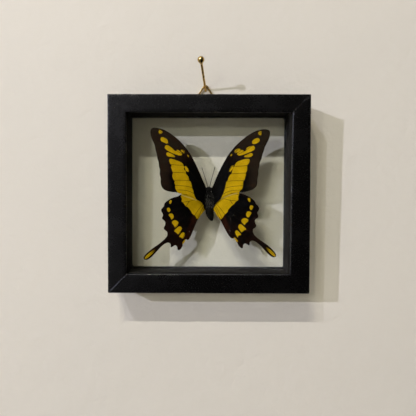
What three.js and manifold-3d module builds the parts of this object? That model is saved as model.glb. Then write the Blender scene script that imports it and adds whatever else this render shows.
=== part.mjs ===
// Double-glass shadow-box frame with a spread swallowtail butterfly fixed between its two panes,
// a triangular ring hanger at the top and the ball-headed nail that it hangs on.
// Millimetres, +Z up, +X to the right seen from the front, the front faces -Y.
// The origin is where the nail's axis enters the wall, which is the plane y = 0.
import * as THREE from "three";
import { mergeVertices } from "three/addons/utils/BufferGeometryUtils.js";
import Module from "manifold-3d";

const wasm = await Module();
wasm.setup();

// ---------------------------------------------------------------- driving dimensions
// Frame space: x to the right and z up from the middle of the frame's face, d = depth behind that face.
const FRAME_W = 150; // outer width
const FRAME_H = 147.4; // outer height
const RAIL_DEPTH = 29; // rails, front to back
const LIP_DEPTH = 3.0; // the front lip that the glass rests against
const LIP_WIDTH = 13.8; // nominal face width
const WALL_SHARE = 0.45; // how much of the face width is the rail's outer wall
const GAP = 0.3; // clearance between neighbouring pieces
const MITRE_BACKOFF = 0.2; // each mitred end stops this far short of the corner line
const GLASS_T = 2; // both panes
const SPACER_FROM = 5.6; // spacer strips, front and back
const SPACER_TO = 22.0;
const RETAINER_FROM = 24.6; // retaining strips behind the rear pane
const RETAINER_TO = 28.2;
const WALL_GAP = 4; // back of the rails to the wall
const ORIGIN_X = -3.0; // the nail's entry point, in frame space
const ORIGIN_Z = 84.35;
// corners, clockwise from top left: hand-made mouldings, so each opening is a little out of true
const OUTER = [
  [-75, 73.7],
  [75, 73.7],
  [75, -73.7],
  [-75, -73.7],
];
const LIP = [
  [-61.1, 60.3],
  [61.7, 60.45],
  [60.7, -59.7],
  [-61.2, -59.7],
];
const SPACER = [
  [-61.0, 61.4],
  [60.5, 61.5],
  [59.8, -58.7],
  [-61.2, -58.7],
];
const WINDOW = [
  [-61.4, 60.8],
  [59.9, 60.9],
  [59.7, -58.0],
  [-61.6, -57.9],
];
const WINDOW_FILLETS = [0.3, 1.7, 0.9, 2.1]; // paint and glue filling the window's corners
const OUTER_FILLETS = [0.3, 0.35, 1.2, 1.1];

// hanging hardware
const BAR_D = 31.05; // the ring's bar: the line that the frame tilts about
const BAR_Z = 75.0;
const RING_APEX_Z = 89.1; // where the legs' centre lines would meet
const RING_HALF_ANGLE = THREE.MathUtils.degToRad(32.15);
const RING_WIRE_R = 0.8;
const RING_BEND_R = 1.6;
const NAIL_R = 0.95;
const NAIL_HEAD_R = 2.57;
const NAIL_HEAD = [-3.1, -31.0, 14.85]; // head centre from the entry point
const NAIL_DRIVEN = 11; // length inside the wall
const STRAP_T = 0.6;
const STRAP_W = 8;

// insect
const WING_T = 0.35; // each wing's thickness
// The wings stand in a V that is steep at the thorax and flattens outwards.
const WING_ROOT_X = 3;
const WING_ROOT_D = 16.3; // depth of a forewing's middle at its root
const WING_SWEEP = 6.4; // what the steep inner part rises by
const WING_SWEEP_X = 9.5; // how far out that part reaches
const WING_RISE = 0.114; // depth lost for each mm out, all the way
const FOREWING_TILT = 0.047; // depth gained for each mm up
const HINDWING_BEHIND = 0.93; // a hindwing lies this far behind its forewing
const HINDWING_DROOP = 0.0052; // and bends back beyond 30 mm out
const HINDWING_TILT = -0.0132;
const SIGHT = [1.1, -307.5, -2.4]; // the outlines below were drawn at depth 15 as seen from this point

// ---------------------------------------------------------------- helpers
const backPlaneY = -(RAIL_DEPTH + WALL_GAP); // y of the frame's face
const toPart = new THREE.Matrix4().makeTranslation(
  -ORIGIN_X,
  backPlaneY,
  -ORIGIN_Z,
);

function indexed(geometry) {
  const g = geometry.clone();
  g.deleteAttribute("normal");
  g.deleteAttribute("uv");
  return mergeVertices(g, 1e-4);
}
function toManifold(geometry) {
  const g = indexed(geometry);
  return new wasm.Manifold(
    new wasm.Mesh({
      numProp: 3,
      vertProperties: new Float32Array(g.attributes.position.array),
      triVerts: new Uint32Array(g.index.array),
    }),
  );
}
function fromManifold(solid) {
  const m = solid.getMesh();
  const v = new Float32Array(m.numVert * 3);
  for (let i = 0; i < m.numVert; i++)
    v.set(m.vertProperties.subarray(i * m.numProp, i * m.numProp + 3), i * 3);
  const g = new THREE.BufferGeometry();
  g.setAttribute("position", new THREE.BufferAttribute(v, 3));
  g.setIndex(new THREE.BufferAttribute(new Uint32Array(m.triVerts), 1));
  g.computeVertexNormals();
  return g;
}
// A closed outline of [x, z] points, made solid from depth d0 to d1.
function slab(points, d0, d1) {
  const pts = THREE.ShapeUtils.isClockWise(
    points.map(([x, z]) => new THREE.Vector2(x, z)),
  )
    ? [...points].reverse()
    : points;
  const shape = new THREE.Shape(pts.map(([x, z]) => new THREE.Vector2(x, z)));
  const g = new THREE.ExtrudeGeometry(shape, {
    depth: d1 - d0,
    bevelEnabled: false,
    steps: 1,
  });
  // the shape's plane becomes x-z, and its extrusion runs from d1 back to d0
  g.rotateX(Math.PI / 2);
  g.translate(0, d1, 0);
  return g;
}
const lerp = (a, b, t) => a + (b - a) * t;
const mixQuad = (q, r, t) =>
  q.map((p, i) => [lerp(p[0], r[i][0], t), lerp(p[1], r[i][1], t)]);
// Four corners moved towards the middle by m on each side.
const insetQuad = (q, m) => [
  [q[0][0] + m, q[0][1] - m],
  [q[1][0] - m, q[1][1] - m],
  [q[2][0] - m, q[2][1] + m],
  [q[3][0] + m, q[3][1] + m],
];
// The corner of a quad rounded to radius r: points from the previous side to the next one.
function fillet(q, i, r, steps) {
  const p = new THREE.Vector2(...q[i]);
  const a = new THREE.Vector2(...q[(i + 3) % 4]).sub(p).normalize();
  const b = new THREE.Vector2(...q[(i + 1) % 4]).sub(p).normalize();
  const half = a.angleTo(b) / 2;
  const start = p.clone().addScaledVector(a, r / Math.tan(half));
  const end = p.clone().addScaledVector(b, r / Math.tan(half));
  const centre = p
    .clone()
    .addScaledVector(a.clone().add(b).normalize(), r / Math.sin(half));
  const out = [];
  const a0 = Math.atan2(start.y - centre.y, start.x - centre.x);
  let a1 = Math.atan2(end.y - centre.y, end.x - centre.x);
  if (a1 - a0 > Math.PI) a1 -= 2 * Math.PI;
  if (a0 - a1 > Math.PI) a1 += 2 * Math.PI;
  for (let k = 0; k <= steps; k++) {
    const t = lerp(a0, a1, k / steps);
    out.push([centre.x + r * Math.cos(t), centre.y + r * Math.sin(t)]);
  }
  return out;
}
// One mitred strip of a four-sided ring of strips: side 0 top, 1 right, 2 bottom, 3 left.
function mitredStrip(outer, inner, side, d0, d1, radii = [0.2, 0.2, 0.2, 0.2]) {
  const i = side;
  const j = (side + 1) % 4;
  const along = new THREE.Vector2(
    outer[j][0] - outer[i][0],
    outer[j][1] - outer[i][1],
  ).normalize();
  const back = (p, sign) => [
    p[0] + sign * along.x * MITRE_BACKOFF,
    p[1] + sign * along.y * MITRE_BACKOFF,
  ];
  const steps = 6;
  const atI = fillet(inner, i, radii[i], steps).slice(steps / 2); // mid-arc onwards along this side
  const atJ = fillet(inner, j, radii[j], steps).slice(0, steps / 2 + 1);
  return slab(
    [
      back(outer[i], 1),
      back(outer[j], -1),
      ...atJ.reverse().map((p) => back(p, -1)),
      ...atI.reverse().map((p) => back(p, 1)),
    ],
    d0,
    d1,
  );
}
// A rail: an L-shaped profile with eased edges, lofted between two mitred corners.
function railProfile() {
  const arc = (cu, cd, r, from, to, n) =>
    Array.from({ length: n + 1 }, (_, k) => {
      const t = THREE.MathUtils.degToRad(lerp(from, to, k / n));
      return [cu + r * Math.cos(t), cd + r * Math.sin(t)];
    });
  const wall = LIP_WIDTH * WALL_SHARE;
  return [
    ...arc(0.7, 0.7, 0.7, 180, 270, 4), // outer front edge
    ...arc(LIP_WIDTH - 0.45, 0.45, 0.45, 270, 360, 3), // sight edge
    [LIP_WIDTH, LIP_DEPTH],
    [wall, LIP_DEPTH],
    ...arc(wall - 0.3, RAIL_DEPTH - 0.3, 0.3, 0, 90, 2),
    ...arc(0.6, RAIL_DEPTH - 0.6, 0.6, 90, 180, 3), // outer back edge
  ];
}
function rail(side) {
  const profile = railProfile();
  const i = side;
  const j = (side + 1) % 4;
  const along = new THREE.Vector2(
    OUTER[j][0] - OUTER[i][0],
    OUTER[j][1] - OUTER[i][1],
  ).normalize();
  const position = [];
  for (const [corner, sign] of [
    [i, 1],
    [j, -1],
  ])
    for (const [u, d] of profile) {
      const t = u / LIP_WIDTH;
      position.push(
        lerp(OUTER[corner][0], LIP[corner][0], t) +
          sign * along.x * MITRE_BACKOFF,
        d,
        lerp(OUTER[corner][1], LIP[corner][1], t) +
          sign * along.y * MITRE_BACKOFF,
      );
    }
  const n = profile.length;
  const index = [];
  for (let k = 0; k < n; k++) {
    const l = (k + 1) % n;
    index.push(k, l, n + k, l, n + l, n + k);
  }
  const cap = THREE.ShapeUtils.triangulateShape(
    profile.map(([u, d]) => new THREE.Vector2(u, d)),
    [],
  );
  for (const [a, b, c] of cap) {
    index.push(a, c, b);
    index.push(n + a, n + b, n + c);
  }
  let g = new THREE.BufferGeometry();
  g.setAttribute("position", new THREE.Float32BufferAttribute(position, 3));
  g.setIndex(index);
  let solid = toManifold(g);
  if (solid.volume() < 0) {
    g.setIndex(
      index.map((_, k) => index[k - (k % 3) + (2 - (k % 3))]),
    );
    solid = toManifold(g);
  }
  // the outside corners are eased from front to back
  const prism = slab(
    [0, 1, 2, 3].flatMap((c) => fillet(OUTER, c, OUTER_FILLETS[c], 5)),
    -1,
    RAIL_DEPTH + 1,
  );
  return solid.intersect(toManifold(prism));
}
// A closed skin over rings of points, with a pole at each end.
function loft(rings, startPole, endPole) {
  const n = rings[0].length;
  const position = [startPole, ...rings.flat(), endPole].flat();
  const at = (r, k) => 1 + r * n + (k % n);
  const last = 1 + rings.length * n;
  const index = [];
  for (let k = 0; k < n; k++) index.push(0, at(0, k + 1), at(0, k));
  for (let r = 0; r < rings.length - 1; r++)
    for (let k = 0; k < n; k++)
      index.push(
        at(r, k),
        at(r, k + 1),
        at(r + 1, k),
        at(r, k + 1),
        at(r + 1, k + 1),
        at(r + 1, k),
      );
  for (let k = 0; k < n; k++)
    index.push(last, at(rings.length - 1, k), at(rings.length - 1, k + 1));
  const g = new THREE.BufferGeometry();
  g.setAttribute("position", new THREE.Float32BufferAttribute(position, 3));
  g.setIndex(index);
  if (toManifold(g).volume() < 0)
    g.setIndex(index.map((_, k) => index[k - (k % 3) + (2 - (k % 3))]));
  g.computeVertexNormals();
  return g;
}
const circle = (r, sides) =>
  new THREE.Shape(
    Array.from({ length: sides }, (_, k) => {
      const t = (2 * Math.PI * k) / sides;
      return new THREE.Vector2(r * Math.cos(t), r * Math.sin(t));
    }),
  );

// ---------------------------------------------------------------- materials
const finish = (color, roughness, metalness = 0) =>
  new THREE.MeshStandardMaterial({ color, roughness, metalness });
const blackPaint = () => finish(0x121214, 0.42);
const spacerPaint = () => finish(0x2e2d2a, 0.6);
const brass = () => finish(0xb08a3c, 0.28, 1);

const part = new THREE.Group();
const inFrame = new THREE.Group(); // frame space: x, d, z
inFrame.applyMatrix4(toPart);
part.add(inFrame);
function add(group, name, geometry, material) {
  const mesh = new THREE.Mesh(geometry, material);
  mesh.name = name;
  group.add(mesh);
  return mesh;
}

// ---------------------------------------------------------------- frame
const SIDES = ["top", "right", "bottom", "left"];
const REBATE = mixQuad(OUTER, LIP, WALL_SHARE);
const PACKING = insetQuad(REBATE, GAP);
SIDES.forEach((name, side) => {
  add(inFrame, "rail_" + name, fromManifold(rail(side)), blackPaint());
  add(
    inFrame,
    "spacer_" + name,
    mitredStrip(PACKING, SPACER, side, SPACER_FROM, SPACER_TO),
    spacerPaint(),
  );
  add(
    inFrame,
    "retainer_" + name,
    mitredStrip(
      PACKING,
      WINDOW,
      side,
      RETAINER_FROM,
      RETAINER_TO,
      WINDOW_FILLETS,
    ),
    blackPaint(),
  );
});
const glass = () => {
  const m = finish(0xdfe8e4, 0.03);
  m.transparent = true;
  m.opacity = 0.2;
  return m;
};
const PANE = insetQuad(REBATE, GAP + 0.1);
add(
  inFrame,
  "glass_front",
  slab(PANE, LIP_DEPTH + GAP, LIP_DEPTH + GAP + GLASS_T),
  glass(),
);
add(
  inFrame,
  "glass_back",
  slab(PANE, SPACER_TO + GAP, SPACER_TO + GAP + GLASS_T),
  glass(),
);

// ---------------------------------------------------------------- butterfly
// Outlines as [x, z], each from the wing's root along its front edge and back.
const FOREWING_LEFT = [
  [-3.1, 2.2], [-2.9, 4.4], [-5.5, 12.7], [-9.5, 21.9], [-14.1, 30.7],
  [-17.2, 35.1], [-20.3, 38.8], [-23.5, 42.1], [-28.9, 46.4], [-32.6, 48.7],
  [-35.9, 50.2], [-38.3, 50.9], [-40.6, 51.3], [-42.4, 51.4], [-44.0, 51.0],
  [-44.8, 50.1], [-45.2, 48.2], [-45.1, 46.2], [-44.5, 43.7], [-43.1, 40.4],
  [-41.8, 37.2], [-41.3, 34.1], [-40.3, 30.9], [-39.9, 27.6], [-38.9, 24.9],
  [-38.6, 21.4], [-37.9, 18.9], [-38.1, 15.6], [-37.3, 12.4], [-37.4, 9.8],
  [-36.9, 6.8], [-35.3, 4.2], [-33.1, 2.8], [-29.4, 1.9], [-24.0, 1.3],
  [-22.1, 0.5], [-19.0, 0.2], [-16.0, -0.4], [-12.4, -2.0], [-9.6, -3.9],
  [-6.2, -5.9], [-4.0, -8.4], [-3.3, -7.6], [-3.3, -4.5], [-3.2, -1.0],
];
const FOREWING_RIGHT = [
  [3.3, 2.4], [2.9, 4.8], [3.4, 7.2], [5.7, 12.9], [8.3, 18.6],
  [11.1, 24.1], [14.9, 30.6], [17.1, 33.5], [20.0, 37.0], [23.2, 40.1],
  [26.5, 43.0], [29.9, 45.6], [34.1, 48.0], [37.4, 49.4], [41.4, 50.2],
  [44.0, 50.2], [45.6, 49.8], [46.6, 49.1], [47.0, 48.0], [46.9, 46.2],
  [46.3, 43.3], [44.6, 39.6], [42.9, 36.2], [42.2, 33.2], [41.1, 30.5],
  [40.7, 27.9], [39.3, 24.8], [39.0, 22.1], [38.2, 18.6], [38.3, 16.0],
  [37.5, 12.2], [37.3, 8.7], [36.8, 6.6], [35.2, 4.7], [33.3, 3.6],
  [30.0, 2.6], [26.7, 1.9], [23.6, 1.5], [21.8, 1.5], [18.6, 1.2],
  [15.4, 0.2], [12.1, -1.5], [8.6, -3.9], [6.4, -5.9], [4.9, -8.0],
  [4.5, -6.8], [4.5, -3.6], [4.2, 0.0],
];
const HINDWING_LEFT = [
  [-4.4, -3.6], [-8.0, 0.7], [-12.4, 2.3], [-17.0, 2.2], [-21.3, 0.2],
  [-24.0, -1.5], [-26.6, -2.2], [-30.2, -3.7], [-33.1, -5.7], [-34.4, -7.2],
  [-34.9, -9.3], [-36.0, -10.6], [-36.9, -12.1], [-36.6, -13.5], [-35.6, -15.5],
  [-35.6, -16.6], [-36.3, -18.4], [-35.9, -19.3], [-34.2, -20.8], [-33.7, -22.1],
  [-33.9, -23.8], [-35.0, -26.4], [-34.0, -27.7], [-32.5, -29.0], [-32.1, -30.4],
  [-32.4, -32.3], [-34.1, -34.5], [-35.9, -36.2], [-38.9, -38.7], [-43.7, -42.0],
  [-49.1, -46.8], [-50.5, -49.2], [-49.9, -50.7], [-49.0, -51.0], [-48.0, -50.9],
  [-45.2, -49.4], [-42.4, -46.7], [-37.0, -40.8], [-34.5, -38.7], [-32.5, -37.7],
  [-31.2, -37.6], [-30.1, -38.1], [-29.5, -39.0], [-29.5, -40.7], [-29.1, -41.2],
  [-27.8, -40.5], [-26.5, -39.6], [-25.6, -39.6], [-24.5, -40.7], [-24.2, -42.6],
  [-23.9, -43.2], [-23.1, -43.4], [-22.2, -43.0], [-21.0, -41.4], [-20.3, -39.9],
  [-20.2, -38.7], [-19.3, -37.8], [-18.1, -35.7], [-17.9, -34.9], [-17.3, -34.8],
  [-16.5, -35.4], [-15.9, -35.4], [-14.1, -32.6], [-11.7, -26.9], [-8.8, -20.1],
  [-8.0, -18.9], [-6.8, -16.9], [-3.6, -12.9], [-3.35, -11.6], [-3.7, -8.6],
];
const HINDWING_RIGHT = [
  [5.0, -3.4], [8.4, 0.9], [13.0, 3.2], [18.0, 3.6], [22.0, 2.6],
  [24.2, 1.1], [26.5, 0.5], [29.6, -1.0], [31.6, -1.9], [33.2, -3.0],
  [35.3, -4.9], [36.6, -7.2], [38.2, -9.0], [38.9, -10.6], [38.4, -12.4],
  [37.5, -14.0], [38.3, -16.6], [37.9, -18.0], [36.2, -19.0], [35.7, -20.1],
  [35.9, -21.7], [36.8, -24.2], [36.4, -25.3], [34.4, -26.8], [34.2, -27.9],
  [34.4, -29.5], [35.5, -31.4], [37.7, -33.5], [41.2, -36.1], [45.2, -38.8],
  [50.2, -43.4], [52.1, -46.0], [52.3, -47.5], [51.8, -48.3], [50.6, -48.6],
  [49.4, -48.4], [48.1, -47.7], [45.8, -45.8], [40.6, -40.1], [36.9, -37.0],
  [35.4, -36.1], [33.8, -35.7], [32.6, -36.1], [31.7, -37.2], [31.8, -38.7],
  [31.4, -39.3], [30.9, -39.3], [28.8, -38.1], [28.1, -37.9], [26.9, -39.0],
  [26.4, -41.3], [25.7, -41.7], [24.9, -41.4], [22.8, -39.1], [22.2, -37.6],
  [21.4, -36.6], [19.5, -34.0], [18.4, -34.1], [17.5, -33.9], [15.2, -31.4],
  [12.9, -27.5], [8.8, -19.6], [6.2, -16.2], [4.5, -13.2], [3.95, -11.2],
  [4.6, -8.0],
];
const wingBrown = () => finish(0x1c120b, 0.75);
// Depth of a wing's middle along its span, before its tilt.
function forewingDepth(x) {
  const out = Math.abs(x) - WING_ROOT_X;
  return (
    WING_ROOT_D - WING_SWEEP * (1 - Math.exp(-out / WING_SWEEP_X)) - WING_RISE * out
  );
}
const hindwingDepth = (x) =>
  forewingDepth(x) +
  HINDWING_BEHIND +
  HINDWING_DROOP * Math.max(0, Math.abs(x) - 30) ** 2;
const WING_STATIONS = [1, 3, 5, 7, 9.5, 12.5, 16, 20, 25, 31, 38, 46, 58];
// A wing is a bent sheet, cut to its outline and then drawn out towards the eye.
function wing(outline, depth, tilt) {
  const xs = WING_STATIONS.map((x) => x * Math.sign(outline[0][0]));
  const band = new THREE.Shape([
    ...xs.map((x) => new THREE.Vector2(x, depth(x) - WING_T / 2)),
    ...xs.toReversed().map((x) => new THREE.Vector2(x, depth(x) + WING_T / 2)),
  ]);
  const sheet = new THREE.ExtrudeGeometry(band, {
    depth: 130,
    bevelEnabled: false,
    steps: 1,
  });
  sheet.translate(0, 0, -65);
  sheet.applyMatrix4(
    new THREE.Matrix4().set(1, 0, 0, 0, 0, 1, tilt, 0, 0, 0, 1, 0, 0, 0, 0, 1),
  );
  const g = fromManifold(
    toManifold(sheet).intersect(toManifold(slab(outline, -10, 40))),
  );
  const p = g.attributes.position;
  for (let i = 0; i < p.count; i++) {
    const d = p.getY(i);
    const s = (d - SIGHT[1]) / (15 - SIGHT[1]);
    p.setXYZ(
      i,
      SIGHT[0] + (p.getX(i) - SIGHT[0]) * s,
      d,
      SIGHT[2] + (p.getZ(i) - SIGHT[2]) * s,
    );
  }
  g.computeVertexNormals();
  return g;
}
add(inFrame, "forewing_left", wing(FOREWING_LEFT, forewingDepth, FOREWING_TILT), wingBrown());
add(inFrame, "forewing_right", wing(FOREWING_RIGHT, forewingDepth, FOREWING_TILT), wingBrown());
add(inFrame, "hindwing_left", wing(HINDWING_LEFT, hindwingDepth, HINDWING_TILT), wingBrown());
add(inFrame, "hindwing_right", wing(HINDWING_RIGHT, hindwingDepth, HINDWING_TILT), wingBrown());

// Head, thorax and abdomen are one dried body: stations of [x, z, half width, depth, half depth].
const BODY = [
  [-0.1, 5.3, 1.0, 15.7, 0.9],
  [-0.1, 4.7, 1.9, 15.7, 1.5],
  [0.0, 3.7, 2.25, 15.7, 1.8],
  [0.05, 2.8, 1.9, 15.8, 1.7],
  [0.1, 2.1, 1.5, 16.1, 1.6],
  [0.2, 1.2, 2.2, 16.4, 2.4],
  [0.3, -0.3, 2.75, 16.7, 3.1],
  [0.4, -2.2, 3.1, 16.9, 3.5],
  [0.6, -4.6, 3.3, 17.0, 3.6],
  [0.7, -7.0, 3.15, 17.1, 3.4],
  [0.7, -8.8, 2.7, 17.2, 3.0],
  [0.55, -9.9, 2.7, 17.3, 2.8],
  [0.5, -11.2, 3.05, 17.4, 2.9],
  [0.55, -12.8, 3.25, 17.6, 3.0],
  [0.75, -14.8, 3.1, 18.0, 2.8],
  [1.15, -16.8, 2.6, 18.4, 2.4],
  [1.65, -18.6, 1.9, 18.9, 1.8],
  [2.05, -20.0, 1.05, 19.2, 1.0],
];
const BODY_SIDES = 20;
const bodyRings = BODY.map(([x, z, hw, d, hd]) =>
  Array.from({ length: BODY_SIDES }, (_, k) => {
    const t = (2 * Math.PI * k) / BODY_SIDES;
    return [x + hw * Math.cos(t), d + hd * Math.sin(t), z];
  }),
);
add(
  inFrame,
  "butterfly_body",
  loft(bodyRings, [-0.1, 15.7, 5.6], [2.3, 19.35, -21.0]),
  finish(0x16130f, 0.85),
);

// The feelers leave the head side by side and lean apart.
function feeler(points) {
  const curve = new THREE.CatmullRomCurve3(
    points.map(([x, d, z]) => new THREE.Vector3(x, d, z)),
  );
  return new THREE.ExtrudeGeometry(circle(0.2, 8), {
    steps: 10,
    extrudePath: curve,
    bevelEnabled: false,
  });
}
add(
  inFrame,
  "antenna_left",
  feeler([
    [-0.6, 15.1, 6.0],
    [-2.2, 14.6, 10.6],
    [-3.9, 14.2, 15.6],
    [-5.5, 13.9, 20.6],
  ]),
  finish(0x1a1612, 0.8),
);
add(
  inFrame,
  "antenna_right",
  feeler([
    [0.5, 15.1, 6.1],
    [1.9, 14.6, 11.2],
    [3.3, 14.2, 16.2],
    [4.6, 13.9, 21.1],
  ]),
  finish(0x1a1612, 0.8),
);

// A clear dab of adhesive joins the thorax's underside to the rear pane.
const dabProfile = [
  [0, 20.9], [1.5, 20.9], [1.9, 21.0], [2.2, 21.2], [2.6, 21.5], [3.2, 21.85], [3.2, 22.0], [0, 22.0],
];
const dab = new THREE.LatheGeometry(
  dabProfile.map(([r, d]) => new THREE.Vector2(r, d)),
  24,
);
dab.translate(0.7, 0, -5.2); // the lathe's own axis is y, which is the depth here
{
  const solid = toManifold(dab);
  if (solid.volume() < 0) {
    const g = indexed(dab);
    const a = g.index.array;
    g.setIndex([...a].map((_, k) => a[k - (k % 3) + (2 - (k % 3))]));
    g.computeVertexNormals();
    add(inFrame, "adhesive_dab", g, glass());
  } else add(inFrame, "adhesive_dab", dab, glass());
}

// ---------------------------------------------------------------- hanging hardware
// Strap: a plate on the back of the top rail whose top curls round the ring's bar.
function strap() {
  const rOut = RING_WIRE_R + GAP + STRAP_T;
  const rIn = RING_WIRE_R + GAP;
  const outerFace = BAR_D - rOut; // the face against the rail
  const pts = [];
  // [d, z] outline: up the rail side, over the bar, round and back to the plate
  pts.push([outerFace, BAR_Z - 10.8]);
  const n = 16;
  const start = Math.PI;
  const stop = -Math.PI * 0.62;
  for (let k = 0; k <= n; k++) {
    const t = lerp(start, stop, k / n);
    pts.push([BAR_D + rOut * Math.cos(t), BAR_Z + rOut * Math.sin(t)]);
  }
  for (let k = 0; k <= n; k++) {
    const t = lerp(stop, start, k / n);
    pts.push([BAR_D + rIn * Math.cos(t), BAR_Z + rIn * Math.sin(t)]);
  }
  pts.push([outerFace + STRAP_T, BAR_Z - 10.8]);
  const shape = new THREE.Shape(pts.map(([d, z]) => new THREE.Vector2(d, z)));
  const g = new THREE.ExtrudeGeometry(shape, {
    depth: STRAP_W,
    bevelEnabled: false,
    curveSegments: 1,
  });
  // the shape's x is depth and its y is height; the extrusion becomes the width
  g.applyMatrix4(
    new THREE.Matrix4().set(0, 0, 1, ORIGIN_X - STRAP_W / 2, 1, 0, 0, 0, 0, 1, 0, 0, 0, 0, 0, 1),
  );
  return g;
}
const SCREW_Z = 69.6;
// the screw: a shank through plate and rail wall, and a domed head behind the plate
function screw() {
  const headFrom = BAR_D - RING_WIRE_R - GAP + 0.3; // just behind the plate
  const profile = [
    [0, 21.5], [0.9, 23.0], [1.0, headFrom + 0.2], [2.2, headFrom], [2.25, headFrom + 0.35],
    [1.8, headFrom + 0.95], [1.0, headFrom + 1.3], [0, headFrom + 1.4],
  ];
  const g = new THREE.LatheGeometry(
    profile.map(([r, d]) => new THREE.Vector2(r, d)),
    24,
  );
  g.translate(ORIGIN_X, 0, SCREW_Z);
  let solid = toManifold(g);
  if (solid.volume() < 0) {
    const h = indexed(g);
    const a = h.index.array;
    h.setIndex([...a].map((_, k) => a[k - (k % 3) + (2 - (k % 3))]));
    solid = toManifold(h);
  }
  // one driving slot across the head
  const slot = new THREE.BoxGeometry(6, 0.7, 0.55);
  slot.rotateY(THREE.MathUtils.degToRad(28));
  slot.translate(ORIGIN_X, headFrom + 1.25, SCREW_Z);
  return solid.subtract(toManifold(slot));
}
function borer(r, d0, d1, x, z) {
  const g = new THREE.CylinderGeometry(r, r, d1 - d0, 24);
  g.translate(x, (d0 + d1) / 2, z);
  return toManifold(g);
}
const hole = borer(1.3, 20, 32, ORIGIN_X, SCREW_Z);
add(inFrame, "hanger_strap", fromManifold(toManifold(strap()).subtract(hole)), brass());
add(inFrame, "hanger_screw", fromManifold(screw()), brass());
{
  // the pilot hole in the top rail's wall
  const top = inFrame.getObjectByName("rail_top");
  top.geometry = fromManifold(toManifold(top.geometry).subtract(hole));
}

// Ring: wire bent to a triangle, its bar in the strap's curl and its apex over the nail.
function ring() {
  const half = (RING_APEX_Z - BAR_Z) * Math.tan(RING_HALF_ANGLE);
  const corner = (p, q, r, radius, n) => {
    // arc that rounds the corner q between p and r
    const a = p.clone().sub(q).normalize();
    const b = r.clone().sub(q).normalize();
    const h = a.angleTo(b) / 2;
    const c = q
      .clone()
      .addScaledVector(a.clone().add(b).normalize(), radius / Math.sin(h));
    const s = q.clone().addScaledVector(a, radius / Math.tan(h)).sub(c);
    const e = q.clone().addScaledVector(b, radius / Math.tan(h)).sub(c);
    const out = [];
    for (let k = 0; k <= n; k++) {
      const t = k / n;
      const ang = Math.PI - 2 * h;
      // rotate s towards e inside their plane
      const v = s
        .clone()
        .multiplyScalar(Math.sin((1 - t) * ang) / Math.sin(ang))
        .addScaledVector(e, Math.sin(t * ang) / Math.sin(ang));
      out.push(c.clone().add(v));
    }
    return out;
  };
  const A = new THREE.Vector3(0, 0, RING_APEX_Z);
  const L = new THREE.Vector3(-half, 0, BAR_Z);
  const R = new THREE.Vector3(half, 0, BAR_Z);
  const centre = [
    ...corner(L, A, R, RING_BEND_R, 5),
    ...corner(A, R, L, RING_BEND_R, 5),
    new THREE.Vector3(0, 0, BAR_Z),
    ...corner(R, L, A, RING_BEND_R, 5),
  ].map((p) => p.add(new THREE.Vector3(ORIGIN_X, BAR_D, 0)));
  // a wire of round section along the closed centre line, built ring by ring
  const n = centre.length;
  const sides = 12;
  const position = [];
  const index = [];
  for (let k = 0; k < n; k++) {
    const tangent = centre[(k + 1) % n]
      .clone()
      .sub(centre[(k + n - 1) % n])
      .normalize();
    const out = new THREE.Vector3(0, 1, 0);
    const side = new THREE.Vector3().crossVectors(tangent, out).normalize();
    for (let s = 0; s < sides; s++) {
      const t = (2 * Math.PI * s) / sides;
      const p = centre[k]
        .clone()
        .addScaledVector(side, RING_WIRE_R * Math.cos(t))
        .addScaledVector(out, RING_WIRE_R * Math.sin(t));
      position.push(p.x, p.y, p.z);
    }
  }
  for (let k = 0; k < n; k++)
    for (let s = 0; s < sides; s++) {
      const a = k * sides + s;
      const b = k * sides + ((s + 1) % sides);
      const c = ((k + 1) % n) * sides + s;
      const d = ((k + 1) % n) * sides + ((s + 1) % sides);
      index.push(a, b, c, b, d, c);
    }
  const g = new THREE.BufferGeometry();
  g.setAttribute("position", new THREE.Float32BufferAttribute(position, 3));
  g.setIndex(index);
  if (toManifold(g).volume() < 0)
    g.setIndex(index.map((_, k) => index[k - (k % 3) + (2 - (k % 3))]));
  g.computeVertexNormals();
  return g;
}
add(inFrame, "hanger_ring", ring(), brass());

// Nail: its own group, turned so that its axis runs from the wall up and out to the head.
const head = new THREE.Vector3(...NAIL_HEAD);
const shank = head.length();
const nailProfile = [
  [0, -NAIL_DRIVEN],
  [0.25, -NAIL_DRIVEN + 0.5],
  [NAIL_R, -NAIL_DRIVEN + 3.2],
  [NAIL_R, shank - NAIL_HEAD_R - 0.9],
  [NAIL_R + 0.25, shank - NAIL_HEAD_R - 0.5],
  [NAIL_R + 0.3, shank - NAIL_HEAD_R * Math.cos(0.5)],
];
for (let k = 0; k <= 14; k++) {
  const t = lerp(0.55, Math.PI, k / 14);
  nailProfile.push([
    k === 14 ? 0 : NAIL_HEAD_R * Math.sin(t),
    shank - NAIL_HEAD_R * Math.cos(t),
  ]);
}
const nailGeometry = new THREE.LatheGeometry(
  nailProfile.map(([r, y]) => new THREE.Vector2(r, y)),
  24,
);
const nail = add(part, "hanging_nail", nailGeometry, brass());
nail.quaternion.setFromUnitVectors(
  new THREE.Vector3(0, 1, 0),
  head.clone().normalize(),
);

export default part;
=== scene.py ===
"""Looks for a framed butterfly specimen hung on a wall by a ring and a ball-headed nail."""

import math
import random

import bpy
import numpy as np
from mathutils import Matrix, Vector, noise
from mathutils.geometry import delaunay_2d_cdt


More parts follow.
